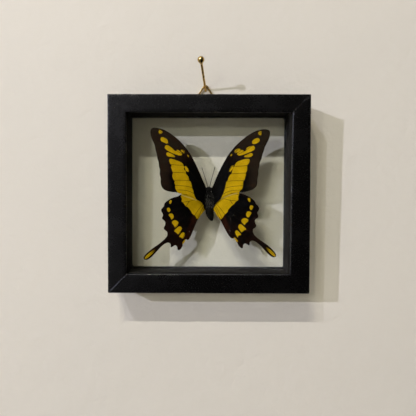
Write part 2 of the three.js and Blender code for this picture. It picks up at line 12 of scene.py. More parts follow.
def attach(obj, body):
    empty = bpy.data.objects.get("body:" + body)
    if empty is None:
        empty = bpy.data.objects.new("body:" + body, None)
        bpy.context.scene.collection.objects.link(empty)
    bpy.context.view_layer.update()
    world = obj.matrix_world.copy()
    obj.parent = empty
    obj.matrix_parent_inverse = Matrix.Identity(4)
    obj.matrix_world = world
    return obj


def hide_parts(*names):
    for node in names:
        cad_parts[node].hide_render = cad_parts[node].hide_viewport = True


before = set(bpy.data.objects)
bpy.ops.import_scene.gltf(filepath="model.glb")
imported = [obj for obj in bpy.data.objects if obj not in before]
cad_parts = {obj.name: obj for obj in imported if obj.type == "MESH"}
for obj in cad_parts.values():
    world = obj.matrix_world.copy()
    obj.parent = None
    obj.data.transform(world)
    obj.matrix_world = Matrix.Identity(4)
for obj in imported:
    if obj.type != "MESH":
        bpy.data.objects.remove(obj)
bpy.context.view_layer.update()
random.seed(7)

# ------------------------------------------------------------------ frame space
# x right and z up from the middle of the frame's face, d = depth behind that face, all mm.
MM = 0.001
ORIGIN_X, FACE_Y, ORIGIN_Z = -3.0, -33.0, 84.35


def P(x, d, z):
    return ((x - ORIGIN_X) * MM, (FACE_Y + d) * MM, (z - ORIGIN_Z) * MM)


OUTER = [(-75, 73.7), (75, 73.7), (75, -73.7), (-75, -73.7)]
LIP = [(-61.1, 60.3), (61.7, 60.45), (60.7, -59.7), (-61.2, -59.7)]
SPACER = [(-61.0, 61.4), (60.5, 61.5), (59.8, -58.7), (-61.2, -58.7)]
WINDOW = [(-61.4, 60.8), (59.9, 60.9), (59.7, -58.0), (-61.6, -57.9)]
WINDOW_FILLETS = [0.3, 1.7, 0.9, 2.1]
OUTER_FILLETS = [0.3, 0.35, 1.2, 1.1]
LIP_WIDTH, WALL_SHARE, GAP = 13.8, 0.45, 0.3


def lerp(a, b, t):
    return a + (b - a) * t


def mix2(p, q, t):
    return (lerp(p[0], q[0], t), lerp(p[1], q[1], t))


def inset(q, m):
    return [
        (q[0][0] + m, q[0][1] - m),
        (q[1][0] - m, q[1][1] - m),
        (q[2][0] - m, q[2][1] + m),
        (q[3][0] + m, q[3][1] + m),
    ]


def smoothstep(a, b, x):
    t = np.clip((x - a) / (b - a), 0, 1)
    return t * t * (3 - 2 * t)


# ------------------------------------------------------------------ node helpers
def material(name):
    m = bpy.data.materials.new(name)
    m.use_nodes = True
    m.node_tree.nodes.clear()
    return m


class Tree:
    """Short ways to add and link nodes."""

    def __init__(self, tree):
        self.t = tree

    def node(self, kind, inputs=None, **settings):
        n = self.t.nodes.new(kind)
        for k, v in settings.items():
            setattr(n, k, v)
        for k, v in (inputs or {}).items():
            self.put(n.inputs[k], v)
        return n

    def put(self, socket, v):
        if isinstance(v, bpy.types.NodeSocket):
            self.t.links.new(v, socket)
        elif isinstance(v, bpy.types.Node):
            self.t.links.new(v.outputs[0], socket)
        else:
            socket.default_value = v

    def math(self, op, a, b=0.0, c=0.0, clamp=False):
        n = self.node("ShaderNodeMath", operation=op, use_clamp=clamp)
        self.put(n.inputs[0], a)
        self.put(n.inputs[1], b)
        if op in ("MULTIPLY_ADD", "SMOOTH_MIN", "COMPARE"):
            self.put(n.inputs[2], c)
        return n.outputs[0]

    def step(self, x, a, b, lo=0.0, hi=1.0):
        n = self.node("ShaderNodeMapRange", interpolation_type="SMOOTHSTEP")
        for i, v in enumerate((x, a, b, lo, hi)):
            self.put(n.inputs[i], v)
        return n.outputs[0]

    def line(self, x, a, b, lo=0.0, hi=1.0):
        n = self.node("ShaderNodeMapRange", interpolation_type="LINEAR")
        for i, v in enumerate((x, a, b, lo, hi)):
            self.put(n.inputs[i], v)
        return n.outputs[0]

    def mix(self, fac, a, b, blend="MIX"):
        n = self.node("ShaderNodeMix", data_type="RGBA", blend_type=blend)
        self.put(n.inputs[0], fac)
        self.put(n.inputs[6], a)
        self.put(n.inputs[7], b)
        return n.outputs[2]

    def attr(self, name):
        return self.node("ShaderNodeAttribute", attribute_name=name).outputs["Fac"]

    def where(self, scale=(1000, 1000, 1000)):
        """Object coordinates in mm, stretched by scale / 1000."""
        co = self.node("ShaderNodeTexCoord").outputs["Object"]
        return self.node(
            "ShaderNodeMapping", {"Vector": co, "Scale": scale}
        ).outputs[0]

    def noise(self, where, scale, detail=4.0, rough=0.55, distort=0.0):
        return self.node(
            "ShaderNodeTexNoise",
            {
                "Vector": where,
                "Scale": scale,
                "Detail": detail,
                "Roughness": rough,
                "Distortion": distort,
            },
        ).outputs[0]

    def bump(self, height, strength, distance, normal=None):
        n = self.node(
            "ShaderNodeBump",
            {"Height": height, "Strength": strength, "Distance": distance},
        )
        if normal is not None:
            self.put(n.inputs["Normal"], normal)
        return n.outputs[0]

    def principled(self, **inputs):
        names = {
            "color": "Base Color",
            "rough": "Roughness",
            "metal": "Metallic",
            "normal": "Normal",
            "ior": "IOR",
            "spec": "Specular IOR Level",
            "trans": "Transmission Weight",
            "coat": "Coat Weight",
            "coat_rough": "Coat Roughness",
            "sheen": "Sheen Weight",
            "sheen_rough": "Sheen Roughness",
            "sss": "Subsurface Weight",
            "sss_radius": "Subsurface Radius",
            "sss_scale": "Subsurface Scale",
        }
        return self.node(
            "ShaderNodeBsdfPrincipled", {names[k]: v for k, v in inputs.items()}
        ).outputs[0]

    def out(self, shader):
        n = self.node("ShaderNodeOutputMaterial")
        self.put(n.inputs["Surface"], shader)


def rgb(r, g, b):
    return (r, g, b, 1.0)


# ------------------------------------------------------------------ materials
def painted_wood(name, along, base, light, rough_lo, rough_hi, edge_colour, shine):
    """Satin paint over fine-grained wood, dull inside the sight edge. along is the axis that the grain runs along."""
    m = material(name)
    t = Tree(m.node_tree)
    w = t.where()
    stretch = (60, 1000, 1000) if along == "x" else (1000, 1000, 60)
    grain_at = t.where(stretch)
    grain = t.noise(grain_at, 1.6, 6.0, 0.62)
    pores = t.noise(grain_at, 5.5, 3.0, 0.7)
    orange = t.noise(w, 1.1, 3.0, 0.5)
    cloud = t.noise(w, 0.045, 3.0, 0.6)
    dust = t.step(t.noise(w, 2.4, 2.0, 0.5), 0.70, 0.80)
    colour = t.mix(t.step(cloud, 0.3, 0.75), base, light)
    colour = t.mix(t.math("MULTIPLY", t.step(pores, 0.55, 0.85), 0.12), colour, edge_colour)
    # paint thins to a paler brown on the handled outer edges: a band round the outside of the face
    pos = t.node("ShaderNodeSeparateXYZ", {0: t.where()})
    ax = t.math("ABSOLUTE", t.math("ADD", pos.outputs[0], ORIGIN_X))
    az = t.math("ABSOLUTE", t.math("ADD", pos.outputs[2], ORIGIN_Z))
    side = t.math("MINIMUM", t.math("SUBTRACT", 75.0, ax), t.math("SUBTRACT", 73.7, az))
    depth = t.math("SUBTRACT", pos.outputs[1], FACE_Y)
    near = t.math("MAXIMUM", side, depth)
    rub = t.math(
        "MULTIPLY",
        t.step(near, 0.9, 0.15),
        t.step(t.noise(w, 0.32, 5.0, 0.7), 0.56, 0.72),
    )
    colour = t.mix(t.math("MULTIPLY", rub, 0.40), colour, edge_colour)
    colour = t.mix(t.math("MULTIPLY", dust, 0.02), colour, rgb(0.35, 0.33, 0.30))
    rough = t.line(orange, 0.3, 0.7, rough_lo, rough_hi)
    rough = t.math("ADD", rough, t.math("MULTIPLY", t.step(cloud, 0.4, 0.7), 0.05))
    rough = t.math("ADD", rough, t.math("MULTIPLY", rub, 0.12), clamp=True)
    within = t.math("MULTIPLY", t.step(side, 12.6, 13.3), t.step(depth, 0.7, 1.4))
    rough = t.math("MAXIMUM", rough, t.math("MULTIPLY", within, 0.9))
    height = t.math("MULTIPLY_ADD", grain, 0.6, t.math("MULTIPLY", pores, 0.25))
    normal = t.bump(height, 0.22, 0.00012)
    normal = t.bump(orange, 0.10, 0.00010, normal)
    t.out(t.principled(color=colour, rough=rough, normal=normal, spec=shine, ior=1.5))
    return m


def glass_material(name, tint, rough):
    """Clear where it is seen, and lamps shine through it."""
    m = material(name)
    t = Tree(m.node_tree)
    w = t.where()
    smear = t.noise(t.where((1000, 1000, 350)), 0.05, 4.0, 0.6)
    r = t.step(smear, 0.5, 0.8, rough, rough + 0.015)
    ripple = t.bump(t.noise(w, 0.02, 1.0, 0.4), 0.04, 0.0001)
    glass = t.principled(
        color=tint, rough=r, trans=1.0, ior=1.5, spec=0.5, normal=ripple
    )
    clear = t.node(
        "ShaderNodeBsdfTransparent", {"Color": rgb(0.996, 1.0, 0.994)}
    ).outputs[0]
    path = t.node("ShaderNodeLightPath")
    # light that the wall scatters is partly mirrored back on to it by each face of the pane
    echo = t.node("ShaderNodeBsdfAnisotropic", {"Color": rgb(1, 1, 1), "Roughness": 0.05}).outputs[0]
    share = t.math("MULTIPLY", path.outputs["Is Diffuse Ray"], 0.085)
    lit = t.node("ShaderNodeMixShader", {0: share, 1: clear, 2: echo}).outputs[0]
    through = t.math(
        "MAXIMUM", path.outputs["Is Shadow Ray"], path.outputs["Is Diffuse Ray"]
    )
    mixed = t.node("ShaderNodeMixShader", {0: through, 1: glass, 2: lit})
    t.out(mixed.outputs[0])
    return m


def brass_material():
    m = material("polished_brass")
    t = Tree(m.node_tree)
    w = t.where()
    tarnish = t.step(t.noise(w, 0.5, 5.0, 0.6), 0.42, 0.75)
    pits = t.noise(w, 6.0, 3.0, 0.6)
    colour = t.mix(tarnish, rgb(0.72, 0.50, 0.17), rgb(0.42, 0.27, 0.09))
    rough = t.math(
        "ADD", t.step(tarnish, 0.0, 1.0, 0.16, 0.34), t.math("MULTIPLY", pits, 0.08)
    )
    t.out(
        t.principled(
            color=colour, metal=1.0, rough=rough, normal=t.bump(pits, 0.15, 0.00004)
        )
    )
    return m


def wing_material(name, lower):
    m = material(name)
    t = Tree(m.node_tree)
    w = t.where()
    scales = t.noise(w, 4.2, 2.0, 0.6)
    grain = t.noise(w, 1.3, 4.0, 0.6)
    mottle = t.noise(w, 0.16, 4.0, 0.6)
    yel, vein, edge = t.attr("yel"), t.attr("vein"), t.attr("edge")
    basal, warm, pale = t.attr("basal"), t.attr("warm"), t.attr("pale")
    fade = t.attr("fade")
    # ground
    if lower:
        brown, black, red = rgb(0.045, 0.026, 0.013), rgb(0.020, 0.012, 0.007), rgb(0.06, 0.03, 0.012)
        deep, bright = rgb(0.50, 0.37, 0.09), rgb(0.66, 0.53, 0.20)
    else:
        brown, black, red = rgb(0.0165, 0.0114, 0.0064), rgb(0.0005, 0.0004, 0.0003), rgb(0.022, 0.0050, 0.0016)
        deep, bright = rgb(0.44, 0.272, 0.0012), rgb(0.59, 0.364, 0.0035)
    ground = t.mix(basal, brown, black)
    ground = t.mix(t.math("MULTIPLY", warm, t.step(mottle, 0.25, 0.7)), ground, red)
    ground = t.mix(
        t.math("MULTIPLY", t.step(scales, 0.58, 0.8), t.math("MULTIPLY_ADD", basal, -0.27, 0.33)), ground,
        t.mix(0.5, brown, rgb(0.05, 0.035, 0.02)),
    )
    # yellow cells, their edges broken by single scales, cut by the veins
    cut = t.step(vein, 0.30, 0.05)
    sdf = t.math("ADD", yel, t.math("MULTIPLY", t.math("SUBTRACT", scales, 0.5), 0.24))
    sdf = t.math("ADD", sdf, t.math("MULTIPLY", t.math("SUBTRACT", grain, 0.5), 0.22))
    mask = t.step(sdf, -0.11, 0.13)
    mask = t.math("MULTIPLY", mask, t.math("SUBTRACT", 1.0, t.math("MULTIPLY", cut, 0.78)))
    sprinkle = t.math("MULTIPLY", t.step(scales, 0.66, 0.78), t.step(yel, 1.0, 0.1))
    mask = t.math("MULTIPLY", mask, t.math("SUBTRACT", 1.0, t.math("MULTIPLY", sprinkle, 0.55)))
    mask = t.math("MULTIPLY", mask, t.math("SUBTRACT", 1.0, fade))
    yellow = t.mix(t.step(mottle, 0.3, 0.72), deep, bright)
    yellow = t.mix(t.math("MULTIPLY", t.step(grain, 0.6, 0.85), 0.35), yellow, rgb(0.42, 0.24, 0.004))
    colour = t.mix(mask, ground, yellow)
    ridge = t.step(vein, 0.22, 0.04)
    colour = t.mix(
        t.math("MULTIPLY", ridge, 0.55), colour, rgb(0.010, 0.006, 0.003) if not lower else rgb(0.03, 0.018, 0.008)
    )
    # pale marks: shining bare strip, scratches and lunules
    pale_mask = t.step(
        t.math("ADD", pale, t.math("MULTIPLY", t.math("SUBTRACT", scales, 0.5), 0.3)), -0.08, 0.14
    )
    colour = t.mix(t.math("MULTIPLY", pale_mask, 0.5), colour, rgb(0.62, 0.52, 0.16))
    lun = t.step(t.math("ADD", t.attr("lunule"), t.math("MULTIPLY", t.math("SUBTRACT", scales, 0.5), 0.5)), -0.12, 0.25)
    colour = t.mix(t.math("MULTIPLY", lun, 0.85), colour, rgb(0.17, 0.16, 0.155))
    # fringe
    fringe = t.math("MULTIPLY", t.step(edge, 0.26, 0.08), t.attr("fringe"))
    fringe = t.math("MULTIPLY", fringe, t.step(grain, 0.35, 0.6))
    colour = t.mix(t.math("MULTIPLY", fringe, 0.55), colour, rgb(0.20, 0.17, 0.12))
    rough = t.line(scales, 0.3, 0.7, 0.62, 0.82)
    rough = t.math("SUBTRACT", rough, t.math("MULTIPLY", pale_mask, 0.32))
    height = t.math("ADD", t.math("MULTIPLY", scales, 0.6), t.math("MULTIPLY", grain, 0.5))
    normal = t.bump(height, 0.30, 0.00006)
    t.out(t.principled(color=colour, rough=rough, normal=normal, spec=0.05, ior=1.45))
    return m


def insect_material(name, dark, light, rough_lo, rough_hi, spec, bump_scale=3.0):
    """Dried chitin: dark to light by the attribute tone, and by noise. On the body the tone also carries a painted
    sheen on the side that faces the lamps.
    """
    m = material(name)
    t = Tree(m.node_tree)
    w = t.where()
    fine = t.noise(w, bump_scale, 4.0, 0.6)
    blot = t.noise(w, 0.5, 4.0, 0.6)
    tone = t.math("ADD", t.attr("tone"), t.math("MULTIPLY", t.math("SUBTRACT", blot, 0.5), 0.5), clamp=True)
    colour = t.mix(tone, dark, light)
    rough = t.line(fine, 0.3, 0.7, rough_lo, rough_hi)
    t.out(
        t.principled(
            color=colour, rough=rough, spec=spec, normal=t.bump(fine, 0.35, 0.00012)
        )
    )
    return m


def wall_material():
    """One-sided: seen from the front, and clear from behind."""
    m = material("backdrop_wall")
    t = Tree(m.node_tree)
    w = t.where()
    peel = t.noise(w, 0.16, 4.0, 0.55, 0.3)
    trowel = t.noise(t.where((1000, 1000, 1400)), 0.045, 3.0, 0.5, 0.6)
    cloud = t.noise(w, 0.008, 2.0, 0.5)
    colour = t.mix(cloud, rgb(0.815, 0.765, 0.675), rgb(0.765, 0.725, 0.645))
    normal = t.bump(peel, 0.45, 0.0010)
    normal = t.bump(trowel, 0.38, 0.0020, normal)
    face = t.principled(color=colour, rough=0.62, spec=0.15, normal=normal)
    clear = t.node("ShaderNodeBsdfTransparent").outputs[0]
    geo = t.node("ShaderNodeNewGeometry")
    mixed = t.node(
        "ShaderNodeMixShader", {0: geo.outputs["Backfacing"], 1: face, 2: clear}
    )
    t.out(mixed.outputs[0])
    return m


def floor_material():
    m = material("backdrop_floor")
    t = Tree(m.node_tree)
    w = t.where()
    c = t.mix(t.noise(w, 0.01, 3.0, 0.5), rgb(0.62, 0.60, 0.56), rgb(0.68, 0.66, 0.62))
    face = t.principled(color=c, rough=0.7, spec=0.2)
    clear = t.node("ShaderNodeBsdfTransparent").outputs[0]
    path = t.node("ShaderNodeLightPath")
    t.out(t.node("ShaderNodeMixShader", {0: path.outputs["Is Glossy Ray"], 1: face, 2: clear}).outputs[0])
    return m


BLACK_BASE, BLACK_LIGHT, BLACK_EDGE = rgb(0.00050, 0.00042, 0.00062), rgb(0.0010, 0.0009, 0.0012), rgb(0.010, 0.0075, 0.0055)
paint_x = painted_wood("black_paint_x", "x", BLACK_BASE, BLACK_LIGHT, 0.23, 0.28, BLACK_EDGE, 0.80)
paint_z = painted_wood("black_paint_z", "z", BLACK_BASE, BLACK_LIGHT, 0.23, 0.28, BLACK_EDGE, 0.80)
grey_x = painted_wood("spacer_grey_x", "x", rgb(0.0136, 0.0123, 0.0106), rgb(0.020, 0.0181, 0.0158), 0.78, 0.88, rgb(0.037, 0.033, 0.028), 0.12)
grey_z = painted_wood("spacer_grey_z", "z", rgb(0.0136, 0.0123, 0.0106), rgb(0.020, 0.0181, 0.0158), 0.78, 0.88, rgb(0.037, 0.033, 0.028), 0.12)
pane = glass_material("pane_glass", rgb(0.988, 1.0, 0.982), 0.0)
glue = glass_material("clear_adhesive", rgb(0.93, 0.93, 0.86), 0.12)
brass = brass_material()
wing_upper = wing_material("wing_upper", False)
wing_lower = wing_material("wing_lower", True)
skin = insect_material("insect_skin", rgb(0.0010, 0.0009, 0.0007), rgb(0.024, 0.021, 0.016), 0.45, 0.70, 0.08)
hair_mat = insect_material("insect_hair", rgb(0.0013, 0.0011, 0.0009), rgb(0.26, 0.25, 0.21), 0.55, 0.75, 0.05, 8.0)
eye_mat = insect_material("insect_eye", rgb(0.006, 0.004, 0.003), rgb(0.02, 0.012, 0.008), 0.18, 0.28, 0.5, 9.0)


# ------------------------------------------------------------------ mesh helpers
def signed_volume(v, faces):
    v = np.asarray(v, float)
    total = 0.0
    for f in faces:
        for i in range(1, len(f) - 1):
            total += np.dot(v[f[0]], np.cross(v[f[i]], v[f[i + 1]]))
    return total / 6


def piece(name, verts, faces, mats, body="frame", slot=None, replaces=(), index=None, attrs=None, sharp=None, in_part=False, flip=True):
    """A mesh object from frame-space points, riding on a body."""
    pts = [tuple(c * MM for c in v) for v in verts] if in_part else [P(*v) for v in verts]
    if flip and signed_volume(pts, faces) < 0:
        faces = [tuple(reversed(f)) for f in faces]
    me = bpy.data.meshes.new(name)
    me.from_pydata(pts, [], faces)
    for m in mats:
        me.materials.append(m)
    if index is not None:
        me.polygons.foreach_set("material_index", index)
    for k, v in (attrs or {}).items():
        a = me.attributes.new(k, "FLOAT", "POINT")
        a.data.foreach_set("value", np.asarray(v, np.float32))
    me.shade_smooth()
    if sharp is not None:
        me.set_sharp_from_angle(angle=math.radians(sharp))
    me.update()
    o = bpy.data.objects.new(name, me)
    bpy.context.scene.collection.objects.link(o)
    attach(o, body)
    if replaces:
        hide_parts(*replaces)
    return o


def arc(cu, cd, r, a0, a1, n):
    out = []
    for k in range(n + 1):
        t = math.radians(lerp(a0, a1, k / n))
        out.append((cu + r * math.cos(t), cd + r * math.sin(t)))
    return out


def n3(x, y, z, seed=0.0):
    return noise.noise(Vector((x + seed * 17.3, y - seed * 9.1, z + seed * 5.7)))


# ------------------------------------------------------------------ frame mouldings
SIDES = ["top", "right", "bottom", "left"]
REBATE = [mix2(o, l, WALL_SHARE) for o, l in zip(OUTER, LIP)]
PACKING = inset(REBATE, GAP)
END_STATIONS = [0.0, 0.10, 0.2, 0.32, 0.46, 0.62, 0.8, 1.0, 1.25, 1.6, 2.1, 3.0, 4.6, 7.0, 10.5]


def stations(length):
    mid = list(np.linspace(15.0, length - 15.0, 18))
    return [s / length for s in END_STATIONS + mid + [length - e for e in reversed(END_STATIONS)]]


def moulding(side, outer, inner, profile, width, corner_r=None, hole_r=None, wobble=0.05, seed=0):
    """A strip with mitred ends: profile is a loop of (u, d), u from 0 at outer to width at inner."""
    i, j = side, (side + 1) % 4
    length = math.dist(outer[i], outer[j])
    along = ((outer[j][0] - outer[i][0]) / length, (outer[j][1] - outer[i][1]) / length)
    middle = (
        (inner[i][0] + inner[j][0]) / 2 - (outer[i][0] + outer[j][0]) / 2,
        (inner[i][1] + inner[j][1]) / 2 - (outer[i][1] + outer[j][1]) / 2,
    )
    inward = (-along[1], along[0])
    if inward[0] * middle[0] + inward[1] * middle[1] < 0:
        inward = (along[1], -along[0])
    dmid = sum(d for _, d in profile) / len(profile)
    verts = []
    ss = stations(length)
    for k, s in enumerate(ss):
        end = min(s, 1 - s) * length  # distance from the nearer mitre, along the outside
        a, b = mix2(outer[i], outer[j], s), mix2(inner[i], inner[j], s)
        sign = 1 if s < 0.5 else -1
        back = 0.02 if k in (0, len(ss) - 1) else 0.0
        for u, d in profile:
            x, z = mix2(a, b, u / width)
            x += along[0] * back * sign
            z += along[1] * back * sign
            # a slight waviness of planed wood, and softened mitre edges
            wave = wobble * n3(x * 0.055, z * 0.055, d * 0.05, seed)
            nick = wobble * 0.9 * n3(x * 0.5, z * 0.5, d * 0.3, seed + 3)
            ease = max(0.0, 1 - end / 0.2) * 0.055
            d2 = d + (wave * 0.5 + nick * 0.35 + ease) * (1 if d < dmid else -1)
            if u < width * 0.1:
                x += inward[0] * (wave + nick * 0.6)
                z += inward[1] * (wave + nick * 0.6)
            elif u > width * 0.9:
                x -= inward[0] * (wave * 0.6 + nick * 0.5)
                z -= inward[1] * (wave * 0.6 + nick * 0.5)
            if corner_r:
                for c in range(4):
                    sx, sz = math.copysign(1, OUTER[c][0]), math.copysign(1, OUTER[c][1])
                    r = corner_r[c]
                    cx, cz = OUTER[c][0] - sx * r, OUTER[c][1] - sz * r
                    dx, dz = (x - cx) * sx, (z - cz) * sz
                    if dx > 0 and dz > 0 and math.hypot(dx, dz) > r:
                        f = r / math.hypot(dx, dz)
                        x, z = cx + sx * dx * f, cz + sz * dz * f
            if hole_r and u > width * 0.97:
                for c in range(4):
                    q = inner[c]
                    sx, sz = math.copysign(1, q[0]), math.copysign(1, q[1])
                    r = hole_r[c]
                    cx, cz = q[0] - sx * r, q[1] - sz * r
                    dx, dz = (x - cx) * sx, (z - cz) * sz
                    if dx > 0 and dz > 0 and math.hypot(dx, dz) > r:
                        f = r / math.hypot(dx, dz)
                        x, z = cx + sx * dx * f, cz + sz * dz * f
            verts.append((x, d2, z))
    n, rows = len(profile), len(ss)
    faces = []
    for k in range(rows - 1):
        for m in range(n):
            o = (m + 1) % n
            faces.append((k * n + m, k * n + o, (k + 1) * n + o, (k + 1) * n + m))
    faces.append(tuple(range(n - 1, -1, -1)))
    faces.append(tuple((rows - 1) * n + m for m in range(n)))
    return verts, faces


WALL_U = LIP_WIDTH * WALL_SHARE
RAIL_PROFILE = (
    arc(0.75, 0.75, 0.75, 180, 270, 7)
    + [(3.0, 0.0), (7.0, 0.0), (10.8, 0.0)]
    + arc(LIP_WIDTH - 0.5, 0.5, 0.5, 270, 360, 5)
    + [(LIP_WIDTH, 1.6)]
    + arc(LIP_WIDTH - 0.25, 2.75, 0.25, 0, 90, 2)
    + [(WALL_U + 0.15, 3.0), (WALL_U, 3.15), (WALL_U, 18.0)]
    + arc(WALL_U - 0.35, 28.65, 0.35, 0, 90, 3)
    + arc(0.6, 28.4, 0.6, 90, 180, 4)
    + [(0.0, 20.0), (0.0, 10.0)]
)


def strip_profile(width, d0, d1, r):
    return (
        arc(r, d0 + r, r, 180, 270, 2)
        + arc(width - r, d0 + r, r, 270, 360, 4)
        + [(width, lerp(d0, d1, 0.35)), (width, lerp(d0, d1, 0.65))]
        + arc(width - r, d1 - r, r, 0, 90, 4)
        + arc(r, d1 - r, r, 90, 180, 2)
    )


for s, side_name in enumerate(SIDES):
    flat = side_name in ("top", "bottom")
    v, f = moulding(s, OUTER, LIP, RAIL_PROFILE, LIP_WIDTH, corner_r=OUTER_FILLETS, wobble=0.055, seed=s + 1)
    piece(f"moulding_{side_name}", v, f, [paint_x if flat else paint_z], slot="black_paint", replaces=[f"rail_{side_name}"], sharp=38)
    v, f = moulding(s, PACKING, SPACER, strip_profile(7.0, 5.33, 22.27, 0.3), 7.0, wobble=0.05, seed=s + 11)
    piece(f"packing_{side_name}", v, f, [grey_x if flat else grey_z], slot="spacer_grey", replaces=[f"spacer_{side_name}"], sharp=38)
    v, f = moulding(s, PACKING, WINDOW, strip_profile(7.0, 24.33, 28.2, 0.35), 7.0, hole_r=WINDOW_FILLETS, wobble=0.05, seed=s + 21)
    piece(f"backing_{side_name}", v, f, [paint_x if flat else paint_z], slot="black_paint", replaces=[f"retainer_{side_name}"], sharp=38)

for name in ("glass_front", "glass_back"):
    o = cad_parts[name]
    o.data.materials.clear()
    o.data.materials.append(pane)
    b = o.modifiers.new("seamed_edge", "BEVEL")
    b.width, b.segments, b.limit_method = 0.00025, 2, "ANGLE"

# ------------------------------------------------------------------ wings
FOREWING_LEFT = [
    (-1.7, 2.2), (-1.9, 4.4), (-5.5, 12.7), (-9.5, 21.9), (-14.1, 30.7),
    (-17.2, 35.1), (-20.3, 38.8), (-23.5, 42.1), (-28.9, 46.4), (-32.6, 48.7),
    (-35.9, 50.2), (-38.3, 50.9), (-40.6, 51.3), (-42.4, 51.4), (-44.0, 51.0),
    (-44.8, 50.1), (-45.2, 48.2), (-45.1, 46.2), (-44.5, 43.7), (-43.1, 40.4),
    (-41.8, 37.2), (-41.3, 34.1), (-40.3, 30.9), (-39.9, 27.6), (-38.9, 24.9),
    (-38.6, 21.4), (-37.9, 18.9), (-38.1, 15.6), (-37.3, 12.4), (-37.4, 9.8),
    (-36.9, 6.8), (-35.3, 4.2), (-33.1, 2.8), (-29.4, 1.9), (-24.0, 1.3),
    (-22.1, 0.5), (-19.0, 0.2), (-16.0, -0.4), (-12.4, -2.0), (-9.6, -3.9),
    (-6.2, -5.9), (-3.4, -8.2), (-1.9, -7.4), (-1.6, -4.5), (-1.5, -1.0),
]
FOREWING_RIGHT = [
    (2.0, 2.4), (2.2, 4.8), (3.4, 7.2), (5.7, 12.9), (8.3, 18.6),
    (11.1, 24.1), (14.9, 30.6), (17.1, 33.5), (20.0, 37.0), (23.2, 40.1),
    (26.5, 43.0), (29.9, 45.6), (34.1, 48.0), (37.4, 49.4), (41.4, 50.2),
    (44.0, 50.2), (45.6, 49.8), (46.6, 49.1), (47.0, 48.0), (46.9, 46.2),
    (46.3, 43.3), (44.6, 39.6), (42.9, 36.2), (42.2, 33.2), (41.1, 30.5),
    (40.7, 27.9), (39.3, 24.8), (39.0, 22.1), (38.2, 18.6), (38.3, 16.0),
    (37.5, 12.2), (37.3, 8.7), (36.8, 6.6), (35.2, 4.7), (33.3, 3.6),
    (30.0, 2.6), (26.7, 1.9), (23.6, 1.5), (21.8, 1.5), (18.6, 1.2),
    (15.4, 0.2), (12.1, -1.5), (8.6, -3.9), (6.4, -5.9), (4.3, -7.9),
    (3.0, -6.8), (2.6, -3.6), (2.2, 0.0),
]
HINDWING_LEFT = [
    (-2.2, -3.6), (-8.0, 0.7), (-12.4, 2.3), (-17.0, 2.2), (-21.3, 0.2),
    (-24.0, -1.5), (-26.6, -2.2), (-30.2, -3.7), (-33.1, -5.7), (-34.4, -7.2),
    (-34.9, -9.3), (-36.0, -10.6), (-36.9, -12.1), (-36.6, -13.5), (-35.6, -15.5),
    (-35.6, -16.6), (-36.3, -18.4), (-35.9, -19.3), (-34.2, -20.8), (-33.7, -22.1),
    (-33.9, -23.8), (-35.0, -26.4), (-34.0, -27.7), (-32.5, -29.0), (-32.1, -30.4),
    (-32.4, -32.3), (-34.1, -34.5), (-35.9, -36.2), (-38.9, -38.7), (-43.7, -42.0),
    (-49.1, -46.8), (-50.5, -49.2), (-49.9, -50.7), (-49.0, -51.0), (-48.0, -50.9),
    (-45.2, -49.4), (-42.4, -46.7), (-37.0, -40.8), (-34.5, -38.7), (-32.5, -37.7),
    (-31.2, -37.6), (-30.1, -38.1), (-29.5, -39.0), (-29.5, -40.7), (-29.1, -41.2),
    (-27.8, -40.5), (-26.5, -39.6), (-25.6, -39.6), (-24.5, -40.7), (-24.2, -42.6),
    (-23.9, -43.2), (-23.1, -43.4), (-22.2, -43.0), (-21.0, -41.4), (-20.3, -39.9),
    (-20.2, -38.7), (-19.3, -37.8), (-18.1, -35.7), (-17.9, -34.9), (-17.3, -34.8),
    (-16.5, -35.4), (-15.9, -35.4), (-14.1, -32.6), (-11.7, -26.9), (-8.8, -20.1),
    (-8.0, -18.9), (-6.8, -16.9), (-3.6, -12.9), (-2.0, -11.2), (-1.6, -8.6),
]
HINDWING_RIGHT = [
    (3.2, -3.4), (8.4, 0.9), (13.0, 3.2), (18.0, 3.6), (22.0, 2.6),
    (24.2, 1.1), (26.5, 0.5), (29.6, -1.0), (31.6, -1.9), (33.2, -3.0),
    (35.3, -4.9), (36.6, -7.2), (38.2, -9.0), (38.9, -10.6), (38.4, -12.4),
    (37.5, -14.0), (38.3, -16.6), (37.9, -18.0), (36.2, -19.0), (35.7, -20.1),
    (35.9, -21.7), (36.8, -24.2), (36.4, -25.3), (34.4, -26.8), (34.2, -27.9),
    (34.4, -29.5), (35.5, -31.4), (37.7, -33.5), (41.2, -36.1), (45.2, -38.8),
    (50.2, -43.4), (52.1, -46.0), (52.3, -47.5), (51.8, -48.3), (50.6, -48.6),
    (49.4, -48.4), (48.1, -47.7), (45.8, -45.8), (40.6, -40.1), (36.9, -37.0),
    (35.4, -36.1), (33.8, -35.7), (32.6, -36.1), (31.7, -37.2), (31.8, -38.7),
    (31.4, -39.3), (30.9, -39.3), (28.8, -38.1), (28.1, -37.9), (26.9, -39.0),
    (26.4, -41.3), (25.7, -41.7), (24.9, -41.4), (22.8, -39.1), (22.2, -37.6),
    (21.4, -36.6), (19.5, -34.0), (18.4, -34.1), (17.5, -33.9), (15.2, -31.4),
    (12.9, -27.5), (8.8, -19.6), (6.2, -16.2), (4.5, -13.2), (2.6, -11.0),
    (2.2, -8.0),
]

